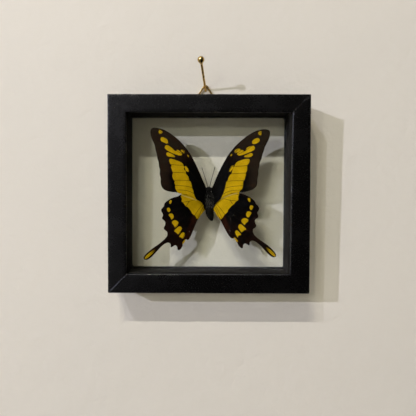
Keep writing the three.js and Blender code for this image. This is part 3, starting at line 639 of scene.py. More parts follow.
# Veins of the right wings, from the root outwards. The left wings carry the same, fitted to their corners.
FORE_VEINS = [
    [(2.6, 4.6), (6.3, 12.6), (11.8, 23.8), (18.0, 33.6), (24.5, 40.6)],  # subcosta
    [(3.0, 3.6), (8.6, 14.6), (14.0, 24.0), (18.4, 30.2), (21.5, 31.6), (29.2, 38.2), (37.2, 44.9), (46.7, 47.3)],
    [(11.6, 19.9), (17.0, 28.6), (22.6, 36.0), (28.6, 43.0), (30.6, 45.9)],
    [(15.4, 26.0), (21.8, 34.0), (29.6, 41.6), (36.4, 48.8)],
    [(29.2, 38.2), (35.6, 44.6), (42.6, 50.0)],
    [(3.2, 2.4), (8.2, 9.4), (13.6, 15.6), (17.8, 21.8), (20.5, 26.2), (21.4, 28.3), (21.1, 30.1), (18.4, 30.2)],
    [(21.1, 30.1), (27.2, 33.5), (34.4, 38.1), (40.4, 40.2), (44.9, 40.7)],
    [(21.4, 28.3), (27.2, 30.0), (34.9, 33.2), (42.4, 34.7)],
    [(20.5, 26.2), (26.0, 27.6), (31.9, 28.2), (41.2, 30.2)],
    [(17.8, 21.8), (24.5, 21.9), (31.0, 22.6), (39.2, 23.6)],
    [(13.6, 15.6), (18.5, 16.0), (24.5, 16.4), (31.0, 16.7), (38.2, 17.0)],
    [(8.2, 9.4), (14.0, 10.2), (20.0, 10.6), (28.0, 10.7), (37.4, 10.6)],
    [(3.4, 0.4), (9.0, 3.4), (14.0, 5.3), (19.0, 6.3), (27.0, 6.8), (36.5, 6.4)],
    [(3.4, -2.4), (8.0, -1.4), (13.5, 1.6), (18.0, 3.0), (24.5, 3.4), (31.0, 3.1)],
]
HIND_VEINS = [
    [(3.6, -3.6), (10.0, -1.0), (17.0, 0.7), (24.5, -0.4), (31.2, -2.0)],
    [(4.0, -4.4), (11.0, -3.4), (16.4, -4.4), (24.0, -5.4), (31.3, -7.6), (38.7, -10.4)],
    [(16.4, -4.4), (19.4, -8.4), (25.5, -10.6), (31.6, -12.7), (38.1, -17.0)],
    [(19.4, -8.4), (20.8, -12.2), (25.5, -15.2), (30.2, -17.9), (36.7, -24.6)],
    [(20.8, -12.2), (19.6, -15.8), (23.5, -19.8), (27.4, -23.6), (31.6, -29.2), (35.6, -34.2), (41.5, -38.9), (46.4, -43.0), (51.2, -47.0)],
    [(19.6, -15.8), (17.0, -17.6), (20.6, -23.4), (24.8, -29.0), (28.2, -34.0), (31.3, -38.9)],
    [(17.0, -17.6), (13.4, -16.9), (16.6, -22.8), (19.8, -28.6), (22.4, -34.0), (25.5, -41.2)],
    [(4.2, -5.6), (8.4, -10.2), (13.4, -16.9)],
    [(3.8, -6.4), (6.6, -11.2), (9.2, -16.4), (13.6, -24.6), (17.8, -33.6)],
    [(3.6, -7.6), (5.4, -11.6), (7.6, -16.6), (9.4, -20.4)],
]


def affine(pairs):
    """The least-squares affine map that takes each first point to its second."""
    a = np.array([[p[0], p[1], 1.0] for p, _ in pairs])
    b = np.array([q for _, q in pairs])
    m, *_ = np.linalg.lstsq(a, b, rcond=None)
    return lambda pts: [tuple(np.array([x, z, 1.0]) @ m) for x, z in pts]


fore_left = affine([((3.0, 2.4), (-2.4, 2.2)), ((46.6, 48.6), (-45.0, 49.6)), ((36.9, 6.6), (-36.9, 6.8)), ((20.0, 37.0), (-20.3, 38.8)), ((42.2, 33.2), (-41.3, 34.1))])
hind_left = affine([((4.0, -3.6), (-3.2, -3.6)), ((38.9, -10.6), (-36.9, -12.1)), ((51.6, -47.4), (-49.8, -50.0)), ((25.6, -41.6), (-23.4, -43.3)), ((18.0, 3.6), (-17.0, 2.2)), ((36.8, -24.2), (-35.0, -26.4))])
FORE_VEINS_L = [fore_left(v) for v in FORE_VEINS]
HIND_VEINS_L = [hind_left(v) for v in HIND_VEINS]

# Yellow cells. Each is a closed outline; the bands run on under the wing in front.
FORE_YELLOW_LEFT = [
    [(-38.5, 49.5), (-37.5, 49.3), (-35.8, 48.0), (-35.9, 47.3), (-36.9, 46.8), (-37.7, 46.4), (-38.5, 46.8)],
    [(-36.3, 44.1), (-34.1, 43.4), (-32.2, 42.0), (-31.6, 39.9), (-32.7, 39.1), (-35.9, 40.3), (-37.0, 41.2), (-37.3, 43.0)],
    [(-33.0, 37.9), (-29.8, 36.8), (-26.4, 33.6), (-25.4, 33.4), (-24.5, 34.4), (-23.6, 34.1), (-20.5, 31.2), (-20.6, 30.6), (-22.4, 29.9), (-25.7, 30.7), (-32.7, 34.2), (-34.2, 36.0)],
    [(-21.5, 34.3), (-19.6, 34.2), (-18.6, 32.8), (-19.1, 31.5), (-19.8, 31.8), (-21.7, 33.6)],
    [(-32.2, 32.4), (-30.1, 31.8), (-26.8, 30.0), (-26.3, 28.6), (-30.8, 29.0), (-32.1, 29.6), (-33.0, 31.4)],
    [(-16.7, 30.7), (-15.5, 29.6), (-15.6, 28.9), (-16.8, 29.8)],
    [(-18.3, 21.9), (-17.7, 21.7), (-16.7, 20.5), (-15.7, 18.5), (-15.7, 17.3), (-17.6, 18.1), (-18.3, 19.6), (-18.8, 21.2)],
    [(-30.4, 27.3), (-27.7, 27.1), (-25.6, 26.4), (-21.7, 24.8), (-20.4, 23.8), (-19.3, 21.2), (-19.3, 19.5), (-18.0, 17.6), (-17.7, 15.7), (-16.6, 14.6), (-15.7, 12.9), (-15.3, 10.8), (-14.1, 9.7), (-12.7, 4.2), (-11.9, 2.4), (-11.9, 1.2), (-10.1, -3.2), (-9.2, -4.2), (-16.0, -4.5), (-23.0, -1.5), (-23.9, 1.0), (-25.5, 3.6), (-26.1, 5.7), (-26.0, 7.4), (-26.6, 9.0), (-26.3, 10.0), (-27.4, 11.4), (-28.3, 14.7), (-27.8, 16.2), (-28.7, 19.2), (-29.3, 21.0), (-28.8, 22.3), (-30.0, 23.8), (-30.8, 26.2)],
]
FORE_YELLOW_RIGHT = [
    [(39.9, 48.8), (40.6, 48.3), (40.2, 47.1), (40.3, 46.0), (39.8, 45.4), (39.2, 45.5), (37.6, 47.2), (38.1, 47.8)],
    [(37.7, 43.5), (38.5, 43.0), (39.0, 41.6), (37.7, 39.9), (34.5, 38.8), (33.4, 39.3), (33.2, 40.7), (33.5, 41.4), (35.2, 42.8)],
    [(34.0, 37.6), (34.8, 37.2), (35.4, 35.9), (35.0, 34.7), (33.6, 33.7), (28.5, 31.5), (25.4, 30.4), (23.1, 30.1), (21.6, 30.9), (22.1, 32.7), (20.0, 31.8), (19.7, 32.9), (20.1, 34.0), (21.1, 34.9), (23.7, 35.4), (24.1, 34.4), (25.9, 34.3), (27.1, 33.2), (28.4, 33.8), (28.7, 35.1), (29.8, 36.3)],
    [(32.2, 32.0), (33.1, 31.9), (33.8, 30.7), (33.3, 29.8), (31.8, 28.9), (28.9, 28.7), (27.1, 29.0), (27.3, 29.7), (29.4, 31.0)],
    [(17.7, 31.3), (18.0, 31.0), (17.7, 30.3), (16.7, 29.5), (16.3, 29.7)],
    [(15.5, 17.9), (16.4, 20.3), (18.2, 22.6), (18.8, 22.6), (18.9, 21.3), (17.6, 18.9), (16.4, 17.6)],
    [(28.9, 27.5), (31.0, 27.3), (31.4, 26.4), (30.7, 24.1), (29.4, 22.4), (29.5, 21.4), (29.2, 18.1), (28.3, 16.5), (28.6, 15.3), (27.9, 13.4), (27.7, 11.7), (26.7, 10.5), (25.8, 4.7), (23.6, 2.1), (22.0, -1.0), (15.0, -5.0), (9.2, -4.0), (9.9, -2.0), (11.6, 2.0), (12.5, 5.1), (13.6, 9.8), (14.8, 11.4), (15.0, 12.6), (16.4, 15.2), (17.6, 16.5), (17.9, 18.0), (19.5, 21.5), (20.5, 23.7), (21.7, 25.1), (26.8, 27.1)],
]
HIND_YELLOW_LEFT = [
    [(-23.9, 3.0), (-12.0, 4.5), (-8.0, 2.5), (-4.5, -2.0), (-4.0, -5.0), (-5.2, -6.8), (-4.1, -8.6), (-3.9, -10.9), (-3.2, -11.6), (-3.1, -12.4), (-6.8, -16.9), (-8.0, -19.2), (-9.1, -19.0), (-10.6, -16.7), (-13.0, -14.8), (-13.3, -13.8), (-15.6, -10.7), (-16.4, -9.7), (-17.6, -9.4), (-19.4, -7.0), (-21.2, -5.2), (-20.8, -3.7), (-21.7, -1.5), (-21.1, 0.2)],
    [(-29.8, -4.6), (-29.0, -4.6), (-28.7, -5.2), (-28.9, -6.2), (-29.7, -7.4), (-30.4, -7.3), (-30.6, -5.7)],
    [(-31.4, -10.3), (-30.4, -10.7), (-29.8, -12.4), (-30.2, -13.3), (-30.9, -13.8), (-31.6, -13.5), (-32.4, -12.1), (-32.3, -10.8)],
    [(-29.3, -14.8), (-28.0, -15.2), (-27.2, -17.4), (-27.9, -19.0), (-28.9, -19.7), (-29.6, -18.2), (-31.2, -15.9), (-30.9, -15.4)],
    [(-26.4, -20.0), (-25.4, -20.2), (-23.9, -21.2), (-23.5, -22.0), (-24.2, -23.9), (-26.0, -25.8), (-26.4, -25.6), (-26.7, -24.5), (-27.9, -23.1), (-28.6, -21.8), (-28.5, -21.2), (-27.5, -20.4)],
    [(-22.8, -24.8), (-21.7, -25.1), (-20.9, -26.3), (-21.7, -28.8), (-22.7, -30.3), (-23.4, -31.0), (-24.0, -30.8), (-25.7, -29.3), (-26.8, -28.6), (-25.3, -26.6)],
    [(-20.2, -29.4), (-19.5, -29.5), (-18.8, -30.0), (-18.5, -31.2), (-19.6, -33.8), (-20.3, -34.5), (-21.4, -33.4), (-22.9, -32.8)],
    [(-18.3, -34.9), (-18.0, -35.6), (-19.5, -38.1), (-20.0, -38.6), (-20.5, -38.1), (-20.3, -37.5), (-19.5, -36.1)],
    [(-41.9, -42.6), (-41.6, -43.1), (-42.2, -44.6), (-45.4, -48.0), (-48.4, -50.2), (-49.8, -50.4), (-50.2, -50.0), (-48.6, -47.5), (-45.8, -45.0)],
]
HIND_YELLOW_RIGHT = [
    [(23.0, 3.5), (12.0, 5.0), (8.0, 2.5), (5.4, -1.5), (4.4, -5.0), (4.8, -7.2), (4.5, -9.4), (3.6, -10.5), (3.6, -11.2), (4.8, -14.0), (6.2, -16.3), (8.3, -19.1), (8.9, -19.4), (9.6, -19.1), (10.9, -17.8), (11.7, -16.3), (14.5, -13.4), (14.9, -12.0), (16.7, -9.8), (17.8, -8.6), (19.1, -7.8), (20.4, -6.1), (22.8, -3.9), (22.6, -1.9), (23.4, 0.4)],
    [(30.2, -2.7), (31.2, -2.8), (31.9, -3.4), (31.9, -5.7), (31.4, -5.9), (30.7, -5.1), (29.9, -3.2)],
    [(32.6, -8.2), (33.6, -8.4), (34.3, -9.2), (33.8, -10.8), (33.0, -12.0), (32.3, -11.9), (31.7, -11.0), (31.6, -9.3)],
    [(30.5, -12.9), (32.3, -13.4), (32.9, -14.1), (30.9, -17.5), (30.2, -17.7), (29.1, -16.7), (28.8, -16.0), (29.2, -14.1), (29.8, -13.1)],
    [(27.6, -18.2), (29.1, -18.5), (30.7, -19.9), (29.5, -21.6), (28.4, -22.4), (27.8, -23.6), (26.9, -23.1), (25.1, -20.4), (25.5, -19.3)],
    [(24.1, -22.9), (25.0, -23.1), (26.2, -23.9), (28.9, -26.8), (28.7, -27.3), (27.6, -27.4), (26.7, -28.3), (25.3, -29.3), (23.6, -26.9), (22.8, -24.6), (23.1, -23.9)],
    [(21.5, -27.7), (23.1, -28.6), (25.1, -31.0), (24.8, -31.5), (23.3, -31.7), (22.7, -32.5), (22.3, -33.3), (20.5, -30.5), (20.4, -29.0)],
    [(20.0, -33.1), (21.1, -33.9), (22.5, -36.3), (21.9, -36.9), (21.4, -36.7), (19.5, -34.1), (19.5, -33.4)],
    [(44.6, -40.5), (46.6, -41.6), (50.5, -45.0), (52.2, -47.4), (51.5, -48.4), (50.9, -48.3), (47.9, -46.0), (44.7, -42.5), (43.7, -41.0)],
]
# Bare shining front edge of each hindwing just below the forewing, and short rubbed lines: a path and a half width.
PALE_LEFT = [([(-22.0, -0.1), (-18.0, -1.6), (-13.5, -3.0), (-9.6, -4.4)], 0.42), ([(-15.6, -13.8), (-12.8, -14.6)], 0.06)]
PALE_RIGHT = [([(21.8, 1.0), (17.2, -0.2), (12.6, -1.9), (9.0, -3.9)], 0.42), ([(15.6, -13.7), (18.0, -14.8), (20.6, -16.6)], 0.05)]
LUNULES_LEFT = [([(-15.3, -28.4), (-14.7, -29.2)], 0.24), ([(-16.3, -31.2), (-15.9, -31.5)], 0.12)]
LUNULES_RIGHT = [([(15.6, -27.6), (16.3, -28.0), (16.6, -28.5)], 0.26), ([(15.9, -29.7), (16.3, -30.1)], 0.12)]


def catmull(points, step, closed):
    """Points along a centripetal Catmull-Rom curve, about step apart."""
    pts = [np.array(p, float) for p in points]
    n = len(pts)
    out = []
    spans = n if closed else n - 1
    for i in range(spans):
        p1, p2 = pts[i], pts[(i + 1) % n]
        p0 = pts[(i - 1) % n] if closed or i > 0 else 2 * p1 - p2
        p3 = pts[(i + 2) % n] if closed or i < n - 2 else 2 * p2 - p1
        t0 = 0.0
        t1 = t0 + max(np.linalg.norm(p1 - p0), 1e-6) ** 0.5
        t2 = t1 + max(np.linalg.norm(p2 - p1), 1e-6) ** 0.5
        t3 = t2 + max(np.linalg.norm(p3 - p2), 1e-6) ** 0.5
        m = max(1, round(np.linalg.norm(p2 - p1) / step))
        for k in range(m):
            t = lerp(t1, t2, k / m)
            a1 = (t1 - t) / (t1 - t0) * p0 + (t - t0) / (t1 - t0) * p1
            a2 = (t2 - t) / (t2 - t1) * p1 + (t - t1) / (t2 - t1) * p2
            a3 = (t3 - t) / (t3 - t2) * p2 + (t - t2) / (t3 - t2) * p3
            b1 = (t2 - t) / (t2 - t0) * a1 + (t - t0) / (t2 - t0) * a2
            b2 = (t3 - t) / (t3 - t1) * a2 + (t - t1) / (t3 - t1) * a3
            out.append(tuple((t2 - t) / (t2 - t1) * b1 + (t - t1) / (t2 - t1) * b2))
    if not closed:
        out.append(tuple(pts[-1]))
    return out


def distance_to_path(pts, path, closed=False):
    """Distance from each of pts to a polyline."""
    pts = np.asarray(pts, float)
    path = np.asarray(path, float)
    a = path if closed else path[:-1]
    b = np.roll(path, -1, axis=0) if closed else path[1:]
    best = np.full(len(pts), 1e9)
    for p, q in zip(a, b):
        v = q - p
        l2 = max(float(v @ v), 1e-12)
        t = np.clip(((pts - p) @ v) / l2, 0, 1)
        best = np.minimum(best, np.hypot(*(pts - p - t[:, None] * v).T))
    return best


def inside(pts, loop):
    pts = np.asarray(pts, float)
    loop = np.asarray(loop, float)
    res = np.zeros(len(pts), bool)
    x, y = pts[:, 0], pts[:, 1]
    j = len(loop) - 1
    for i in range(len(loop)):
        xi, yi = loop[i]
        xj, yj = loop[j]
        if yi != yj:
            c = (yi > y) != (yj > y)
            res ^= c & (x < (xj - xi) * (y - yi) / (yj - yi) + xi)
        j = i
    return res


def signed_area_distance(pts, polys):
    """Positive inside any of the outlines, negative outside."""
    best = np.full(len(pts), -1e9)
    for poly in polys:
        loop = catmull(poly, 0.5, True)
        d = distance_to_path(pts, loop, True)
        best = np.maximum(best, np.where(inside(pts, loop), d, -d))
    return best


def band_distance(pts, lines):
    best = np.full(len(pts), -50.0)
    for path, half in lines:
        best = np.maximum(best, half - distance_to_path(pts, catmull(path, 0.5, False)))
    return best


# The wings stand in a V that is steep at the thorax and flattens outwards.
# Their outlines were drawn at depth 15 as seen from SIGHT.
SIGHT = (1.1, -307.5, -2.4)


def wing_depth(kind, ax, z):
    """Depth of a wing's middle at the drawn distance ax from the body's line and height z."""
    out = ax - 3.0
    fore = 16.3 - 6.4 * (1 - np.exp(-out / 9.5)) - 0.114 * out
    if kind == "fore":
        return fore + 0.047 * z
    return fore + 0.93 + 0.0052 * np.maximum(0.0, ax - 30.0) ** 2 - 0.0132 * z


def camber(x, z):
    """The shared gentle waviness of the dried wings, as depth. It dies out near the front pane."""
    wave = 0.26 * n3(x * 0.045, z * 0.045, 2.0) + 0.10 * n3(x * 0.13, z * 0.13, 7.0)
    return wave * (1 - 0.75 * float(smoothstep(22, 44, np.array(abs(x)))))


def wing(name, node, outline, veins, yellow, pale, lunules, kind, seed):
    loop = np.array(catmull(outline, 0.42, True))
    # every vein in its own polyline, kept inside the outline
    vein_paths = []
    for v in veins:
        path = np.array(catmull(v, 0.45, False))
        keep = inside(path, loop)
        path = path[keep & (distance_to_path(path, loop, True) > 0.12)]
        if len(path) > 2:
            vein_paths.append(path)
    pts = [tuple(p) for p in loop]
    n_loop = len(pts)
    edges = [(k, (k + 1) % n_loop) for k in range(n_loop)]
    side_pts = []
    for path in vein_paths:
        base = len(pts)
        pts += [tuple(p) for p in path]
        edges += [(base + k, base + k + 1) for k in range(len(path) - 1)]
        t = np.gradient(path, axis=0)
        t /= np.linalg.norm(t, axis=1)[:, None]
        nrm = np.stack([-t[:, 1], t[:, 0]], 1)
        for off in (0.17, -0.17, 0.38, -0.38):
            side_pts.append(path + nrm * off)
    side = np.concatenate(side_pts)
    all_veins = vein_paths
    dv = np.min([distance_to_path(side, p) for p in all_veins], axis=0)
    side = side[(dv > 0.13) & inside(side, loop)]
    side = side[distance_to_path(side, loop, True) > 0.12]
    # drop side points that sit on each other
    keep, grid = [], {}
    for p in side:
        key = (round(p[0] / 0.12), round(p[1] / 0.12))
        if key not in grid:
            grid[key] = 1
            keep.append(tuple(p))
    pts += keep
    step = 0.62
    lo, hi = loop.min(0), loop.max(0)
    rows = []
    for r, z in enumerate(np.arange(lo[1], hi[1], step * 0.866)):
        for x in np.arange(lo[0] + (r % 2) * step / 2, hi[0], step):
            rows.append((x + 0.12 * n3(x, z, 0.0, seed), z + 0.12 * n3(z, x, 4.0, seed)))
    rows = np.array(rows)
    rows = rows[inside(rows, loop)]
    rows = rows[distance_to_path(rows, loop, True) > 0.30]
    dv = np.min([distance_to_path(rows, p) for p in all_veins], axis=0)
    rows = rows[dv > 0.52]
    pts += [tuple(p) for p in rows]
    out = delaunay_2d_cdt([Vector(p) for p in pts], edges, [list(range(n_loop))], 1, 1e-5)
    v2 = np.array([(p[0], p[1]) for p in out[0]])
    tris = [tuple(f) for f in out[2]]
    # keep only triangles inside, and their own vertices
    centre = np.array([v2[list(f)].mean(0) for f in tris])
    ok = inside(centre, loop)
    tris = [f for f, o in zip(tris, ok) if o]
    used = sorted({i for f in tris for i in f})
    remap = {o: k for k, o in enumerate(used)}
    v2 = v2[used]
    tris = [tuple(remap[i] for i in f) for f in tris]
    # the boundary: edges with one triangle
    count = {}
    for f in tris:
        for a, b in zip(f, f[1:] + f[:1]):
            count[(a, b)] = count.get((a, b), 0) + 1
    rim = [(a, b) for (a, b) in count if (b, a) not in count]
    n = len(v2)
    edge = distance_to_path(v2, loop, True)
    dvein = np.min([distance_to_path(v2, p) for p in all_veins], axis=0)
    area = signed_area_distance(v2, yellow)
    pal = band_distance(v2, pale)
    lun = band_distance(v2, lunules)
    x, z = v2[:, 0], v2[:, 1]
    ax = np.abs(x)
    if kind == "fore":
        outward = (ax - 3) * 0.45 + z * 0.0
        # near-black towards the root and the front edge's inner half, brown beyond the band
        beyond = ax - (14.5 + 0.55 * np.clip(z, -5, 60))
        root = np.hypot(ax - 3, z - 1)
        basal = 1 - smoothstep(24, 46, root + 0.35 * (ax - 20))
        basal = np.clip(basal, 0, 1)
        warm = smoothstep(20, 34, root) * (1 - smoothstep(54, 66, root)) * (0.40 if x.mean() < 0 else 0.22)
        # the lower margin is black beside the yellow band
        beside = smoothstep(-5.5, -1.5, area) * smoothstep(26, 12, z)
        basal = np.maximum(basal, beside)
        warm = warm * (1 - 0.8 * beside)
    else:
        root = np.hypot(ax - 4, z + 4)
        basal = np.clip(1.0 - 0.0 * root, 0, 1)
        warm = smoothstep(18, 34, root) * smoothstep(-8, -24, z) * 0.45
        # a red-brown patch along the inner margin
        patch = distance_to_path(np.stack([ax, z], 1), np.array([(9.5, -17.0), (12.0, -24.0), (16.5, -33.0)]))
        warm = np.maximum(warm, 1.6 * smoothstep(4.6, 0.8, patch))
        warm = np.clip(warm + smoothstep(2.6, 0.4, edge) * 0.2, 0, 1)
        outward = root
    inner = (ax < 9) & (z > -9)  # hidden by the thorax
    fringe = smoothstep(16, 24, root) * np.where(inner, 0, 1)
    fringe = fringe * (smoothstep(0.7, 1.6, dvein))
    # brownish start of the tail's yellow, and a dark line along it
    fade = np.zeros(n)
    if kind == "hind":
        tail = smoothstep(40, 43, ax) * smoothstep(-38, -40, z)
        start = np.hypot(ax - 42.6, np.abs(z) - 42.0)
        fade = tail * smoothstep(5.6, 1.2, start) * 0.8
        area = area - 0.30 * tail  # a black rim round the yellow of the tail
        dvein = np.where((tail > 0.5), np.maximum(dvein, 0.11), dvein)
    # depth of the two skins: veins stand out, the skin between them sinks a little
    plane = wing_depth(kind, ax, z)
    lift = (plane - SIGHT[1]) / (15 - SIGHT[1])
    seen = np.stack([SIGHT[0] + (x - SIGHT[0]) * lift, SIGHT[2] + (z - SIGHT[2]) * lift], 1)
    mid = np.array([camber(a, b) for a, b in v2]) + plane
    taper = 1 - 0.55 * smoothstep(5, 45, root)
    ridge = np.exp(-((dvein / 0.2) ** 2)) * taper
    hollow = 0.07 * smoothstep(0.3, 2.2, dvein) * smoothstep(0.0, 2.0, edge)
    half = 0.055 + 0.03 * smoothstep(0.0, 0.5, edge)
    front = mid - half - 0.085 * ridge + hollow
    rear = mid + half + 0.060 * ridge + hollow
    verts = [(a, d, b) for (a, b), d in zip(seen, front)] + [(a, d, b) for (a, b), d in zip(seen, rear)]
    faces = [f for f in tris] + [tuple(i + n for i in reversed(f)) for f in tris]
    index = [0] * len(tris) + [1] * len(tris)
    for a, b in rim:
        faces.append((b, a, a + n, b + n))
        index.append(0)
    two = lambda q: np.concatenate([q, q])
    lower_area = np.concatenate([area, area + 0.55])
    return piece(
        name, verts, faces, [wing_upper, wing_lower], slot="wing", replaces=[node], index=index, sharp=60,
        attrs={
            "yel": lower_area, "vein": two(dvein), "edge": two(edge), "basal": two(basal), "warm": two(warm),
            "pale": np.concatenate([pal, np.full(n, -50.0)]), "lunule": two(lun), "fringe": two(fringe), "fade": two(fade),
        },
    )


wing("wing_fore_left", "forewing_left", FOREWING_LEFT, FORE_VEINS_L, FORE_YELLOW_LEFT, [([(-60, 60), (-61, 61)], 0.0)], [([(-60, 60), (-61, 61)], 0.0)], "fore", 1)
wing("wing_fore_right", "forewing_right", FOREWING_RIGHT, FORE_VEINS, FORE_YELLOW_RIGHT, [([(-60, 60), (-61, 61)], 0.0)], [([(-60, 60), (-61, 61)], 0.0)], "fore", 2)
wing("wing_hind_left", "hindwing_left", HINDWING_LEFT, HIND_VEINS_L, HIND_YELLOW_LEFT, PALE_LEFT, LUNULES_LEFT, "hind", 3)
wing("wing_hind_right", "hindwing_right", HINDWING_RIGHT, HIND_VEINS, HIND_YELLOW_RIGHT, PALE_RIGHT, LUNULES_RIGHT, "hind", 4)


# ------------------------------------------------------------------ body
class Build:
    """Collects closed shells with a tone and a material each."""

    def __init__(self):
        self.v, self.f, self.m, self.tone = [], [], [], []

    def add(self, verts, faces, mat, tone):
        base = len(self.v)
        self.v += [tuple(p) for p in verts]
        # each shell faces outwards in frame space, whose axes x, d, z are a right-handed set
        vol = signed_volume(verts, faces)
        if vol < 0:
            faces = [tuple(reversed(f)) for f in faces]
        self.f += [tuple(i + base for i in f) for f in faces]
        self.m += [mat] * len(faces)
        self.tone += list(tone) if hasattr(tone, "__len__") else [tone] * len(verts)

    def tube(self, pts, radii, sides, mat, tone, squash=1.0):
        pts = [Vector(p) for p in pts]
        n = len(pts)
        verts, faces, tones = [], [], []
        up = Vector((0, 1, 0))
        for k in range(n):
            t = (pts[min(k + 1, n - 1)] - pts[max(k - 1, 0)]).normalized()
            a = t.cross(up)
            if a.length < 1e-3:
                a = t.cross(Vector((1, 0, 0)))
            a.normalize()
            b = t.cross(a).normalized()
            up = -b if b.dot(up) < 0 else b
            b = up
            a = b.cross(t).normalized()
            for s in range(sides):
                w = 2 * math.pi * s / sides
                verts.append(pts[k] + a * radii[k] * math.cos(w) + b * radii[k] * squash * math.sin(w))
                tones.append(tone[k] if hasattr(tone, "__len__") else tone)
        for k in range(n - 1):
            for s in range(sides):
                o = (s + 1) % sides
                faces.append((k * sides + s, k * sides + o, (k + 1) * sides + o, (k + 1) * sides + s))
        faces.append(tuple(range(sides - 1, -1, -1)))
        faces.append(tuple((n - 1) * sides + s for s in range(sides)))
        self.add(verts, faces, mat, tones)

    def hair(self, root, direction, length, radius, tone_root, tone_tip, bend):
        d = Vector(direction).normalized()
        root = Vector(root)
        a = d.cross(Vector((0.3, 0.9, 0.2))).normalized()
        b = d.cross(a)
        mid = root + d * length * 0.5 + Vector(bend) * 0.4
        tip = root + d * length + Vector(bend)
        v = []
        for c, r in ((root - d * 0.15, radius), (mid, radius * 0.75)):
            for s in range(3):
                w = 2 * math.pi * s / 3
                v.append(c + a * r * math.cos(w) + b * r * math.sin(w))
        v.append(tip)
        f = [(0, 1, 4, 3), (1, 2, 5, 4), (2, 0, 3, 5), (3, 4, 6), (4, 5, 6), (5, 3, 6), (2, 1, 0)]
        self.add(v, f, 1, [tone_root] * 3 + [lerp(tone_root, tone_tip, 0.6)] * 3 + [tone_tip])

    def make(self, name, mats, **kw):
        return piece(name, self.v, self.f, mats, index=self.m, attrs={"tone": self.tone}, flip=False, **kw)


BODY = [
    (-0.1, 5.3, 1.0, 15.7, 0.9), (-0.1, 4.7, 1.9, 15.7, 1.5), (0.0, 3.7, 2.2, 15.7, 1.8), (0.05, 2.8, 1.9, 15.8, 1.7),
    (0.1, 2.1, 1.5, 16.1, 1.6), (0.2, 1.2, 2.1, 16.4, 2.3), (0.3, -0.3, 2.65, 16.7, 2.95), (0.4, -2.2, 3.0, 16.9, 3.35),
    (0.6, -4.6, 3.15, 17.0, 3.45), (0.7, -7.0, 3.0, 17.1, 3.25), (0.7, -8.8, 2.55, 17.2, 2.85), (0.55, -9.9, 2.6, 17.3, 2.7),
    (0.5, -11.2, 3.0, 17.4, 2.85), (0.55, -12.8, 3.2, 17.6, 2.95), (0.75, -14.8, 3.05, 18.0, 2.75), (1.15, -16.8, 2.55, 18.4, 2.35),
    (1.65, -18.6, 1.87, 18.9, 1.77), (2.05, -20.0, 1.03, 19.2, 1.0),
]
BODY += [(2.16, -20.4, 0.72, 19.28, 0.70), (2.23, -20.7, 0.40, 19.32, 0.40)]
BZ = np.array([b[1] for b in BODY])[::-1]


def body_at(z):
    """x centre, half width, depth centre, half depth of the body at height z."""
    return [float(np.interp(z, BZ, np.array([b[i] for b in BODY])[::-1])) for i in (0, 2, 3, 4)]


body = Build()
rings, tones = [], []
zs = list(np.linspace(5.3, -20.0, 150)) + [-20.4, -20.7]
SIDES_N = 44
for z in zs:
    x, hw, d, hd = body_at(z)
    # abdominal rings overlap like tiles, with a groove at each joint
    seg = 0.0
    if z < -10.2:
        phase = ((-10.2 - z) % 1.65) / 1.65
        seg = 0.10 * phase - 0.16 * math.exp(-((phase - 0.02) / 0.10) ** 2)
    for k in range(SIDES_N):
        w = 2 * math.pi * k / SIDES_N
        lump = 0.10 * n3(math.cos(w) * 2.0, z * 0.6, math.sin(w) * 2.0, 3)
        # shoulder plates and a furrow down the middle of the thorax's upper side
        furrow = 0.0
        if -9 < z < 1.5:
            top = math.exp(-((math.cos(w)) / 0.16) ** 2) * (1 if math.sin(w) < 0 else 0)
            furrow = -0.16 * top
        g = 1 + (seg + lump) / max(hw, 0.9) + furrow / 3
        rings.append((x + hw * g * math.cos(w), d + hd * g * math.sin(w), z))
        # painted sheen: the side of the body that faces the viewer and the lamps is given a lighter tone
        lit_side_tone = 0.06 + 0.10 * max(0.0, -math.sin(w))
        tones.append(lit_side_tone)
faces = []
for r in range(len(zs) - 1):
    for k in range(SIDES_N):
        o = (k + 1) % SIDES_N
        faces.append((r * SIDES_N + k, r * SIDES_N + o, (r + 1) * SIDES_N + o, (r + 1) * SIDES_N + k))
top_i, bot_i = len(rings), len(rings) + 1
rings += [(-0.1, 15.7, 5.55), (2.28, 19.35, -20.9)]
tones += [0.1, 0.1]
for k in range(SIDES_N):
    o = (k + 1) % SIDES_N
    faces.append((top_i, o, k))
    faces.append((bot_i, (len(zs) - 1) * SIDES_N + k, (len(zs) - 1) * SIDES_N + o))
body.add(rings, faces, 0, tones)


def blob(cx, cd, cz, rx, rd, rz, mat, tone, n=12, bumpy=0.0):
    v, f = [], []
    rows = n
    cols = 2 * n
    for i in range(1, rows):
        a = math.pi * i / rows
        for j in range(cols):
            b = 2 * math.pi * j / cols
            g = 1 + bumpy * n3(math.sin(a) * math.cos(b) * 3, math.sin(a) * math.sin(b) * 3, math.cos(a) * 3, cx)
            v.append((cx + rx * g * math.sin(a) * math.cos(b), cd + rd * g * math.sin(a) * math.sin(b), cz + rz * g * math.cos(a)))
    v += [(cx, cd, cz + rz), (cx, cd, cz - rz)]
    t, l = len(v) - 2, len(v) - 1
    for i in range(rows - 2):
        for j in range(cols):
            o = (j + 1) % cols
            f.append((i * cols + j, i * cols + o, (i + 1) * cols + o, (i + 1) * cols + j))
    for j in range(cols):
        o = (j + 1) % cols
        f.append((t, o, j))
        f.append((l, (rows - 2) * cols + j, (rows - 2) * cols + o))
    body.add(v, f, mat, tone)


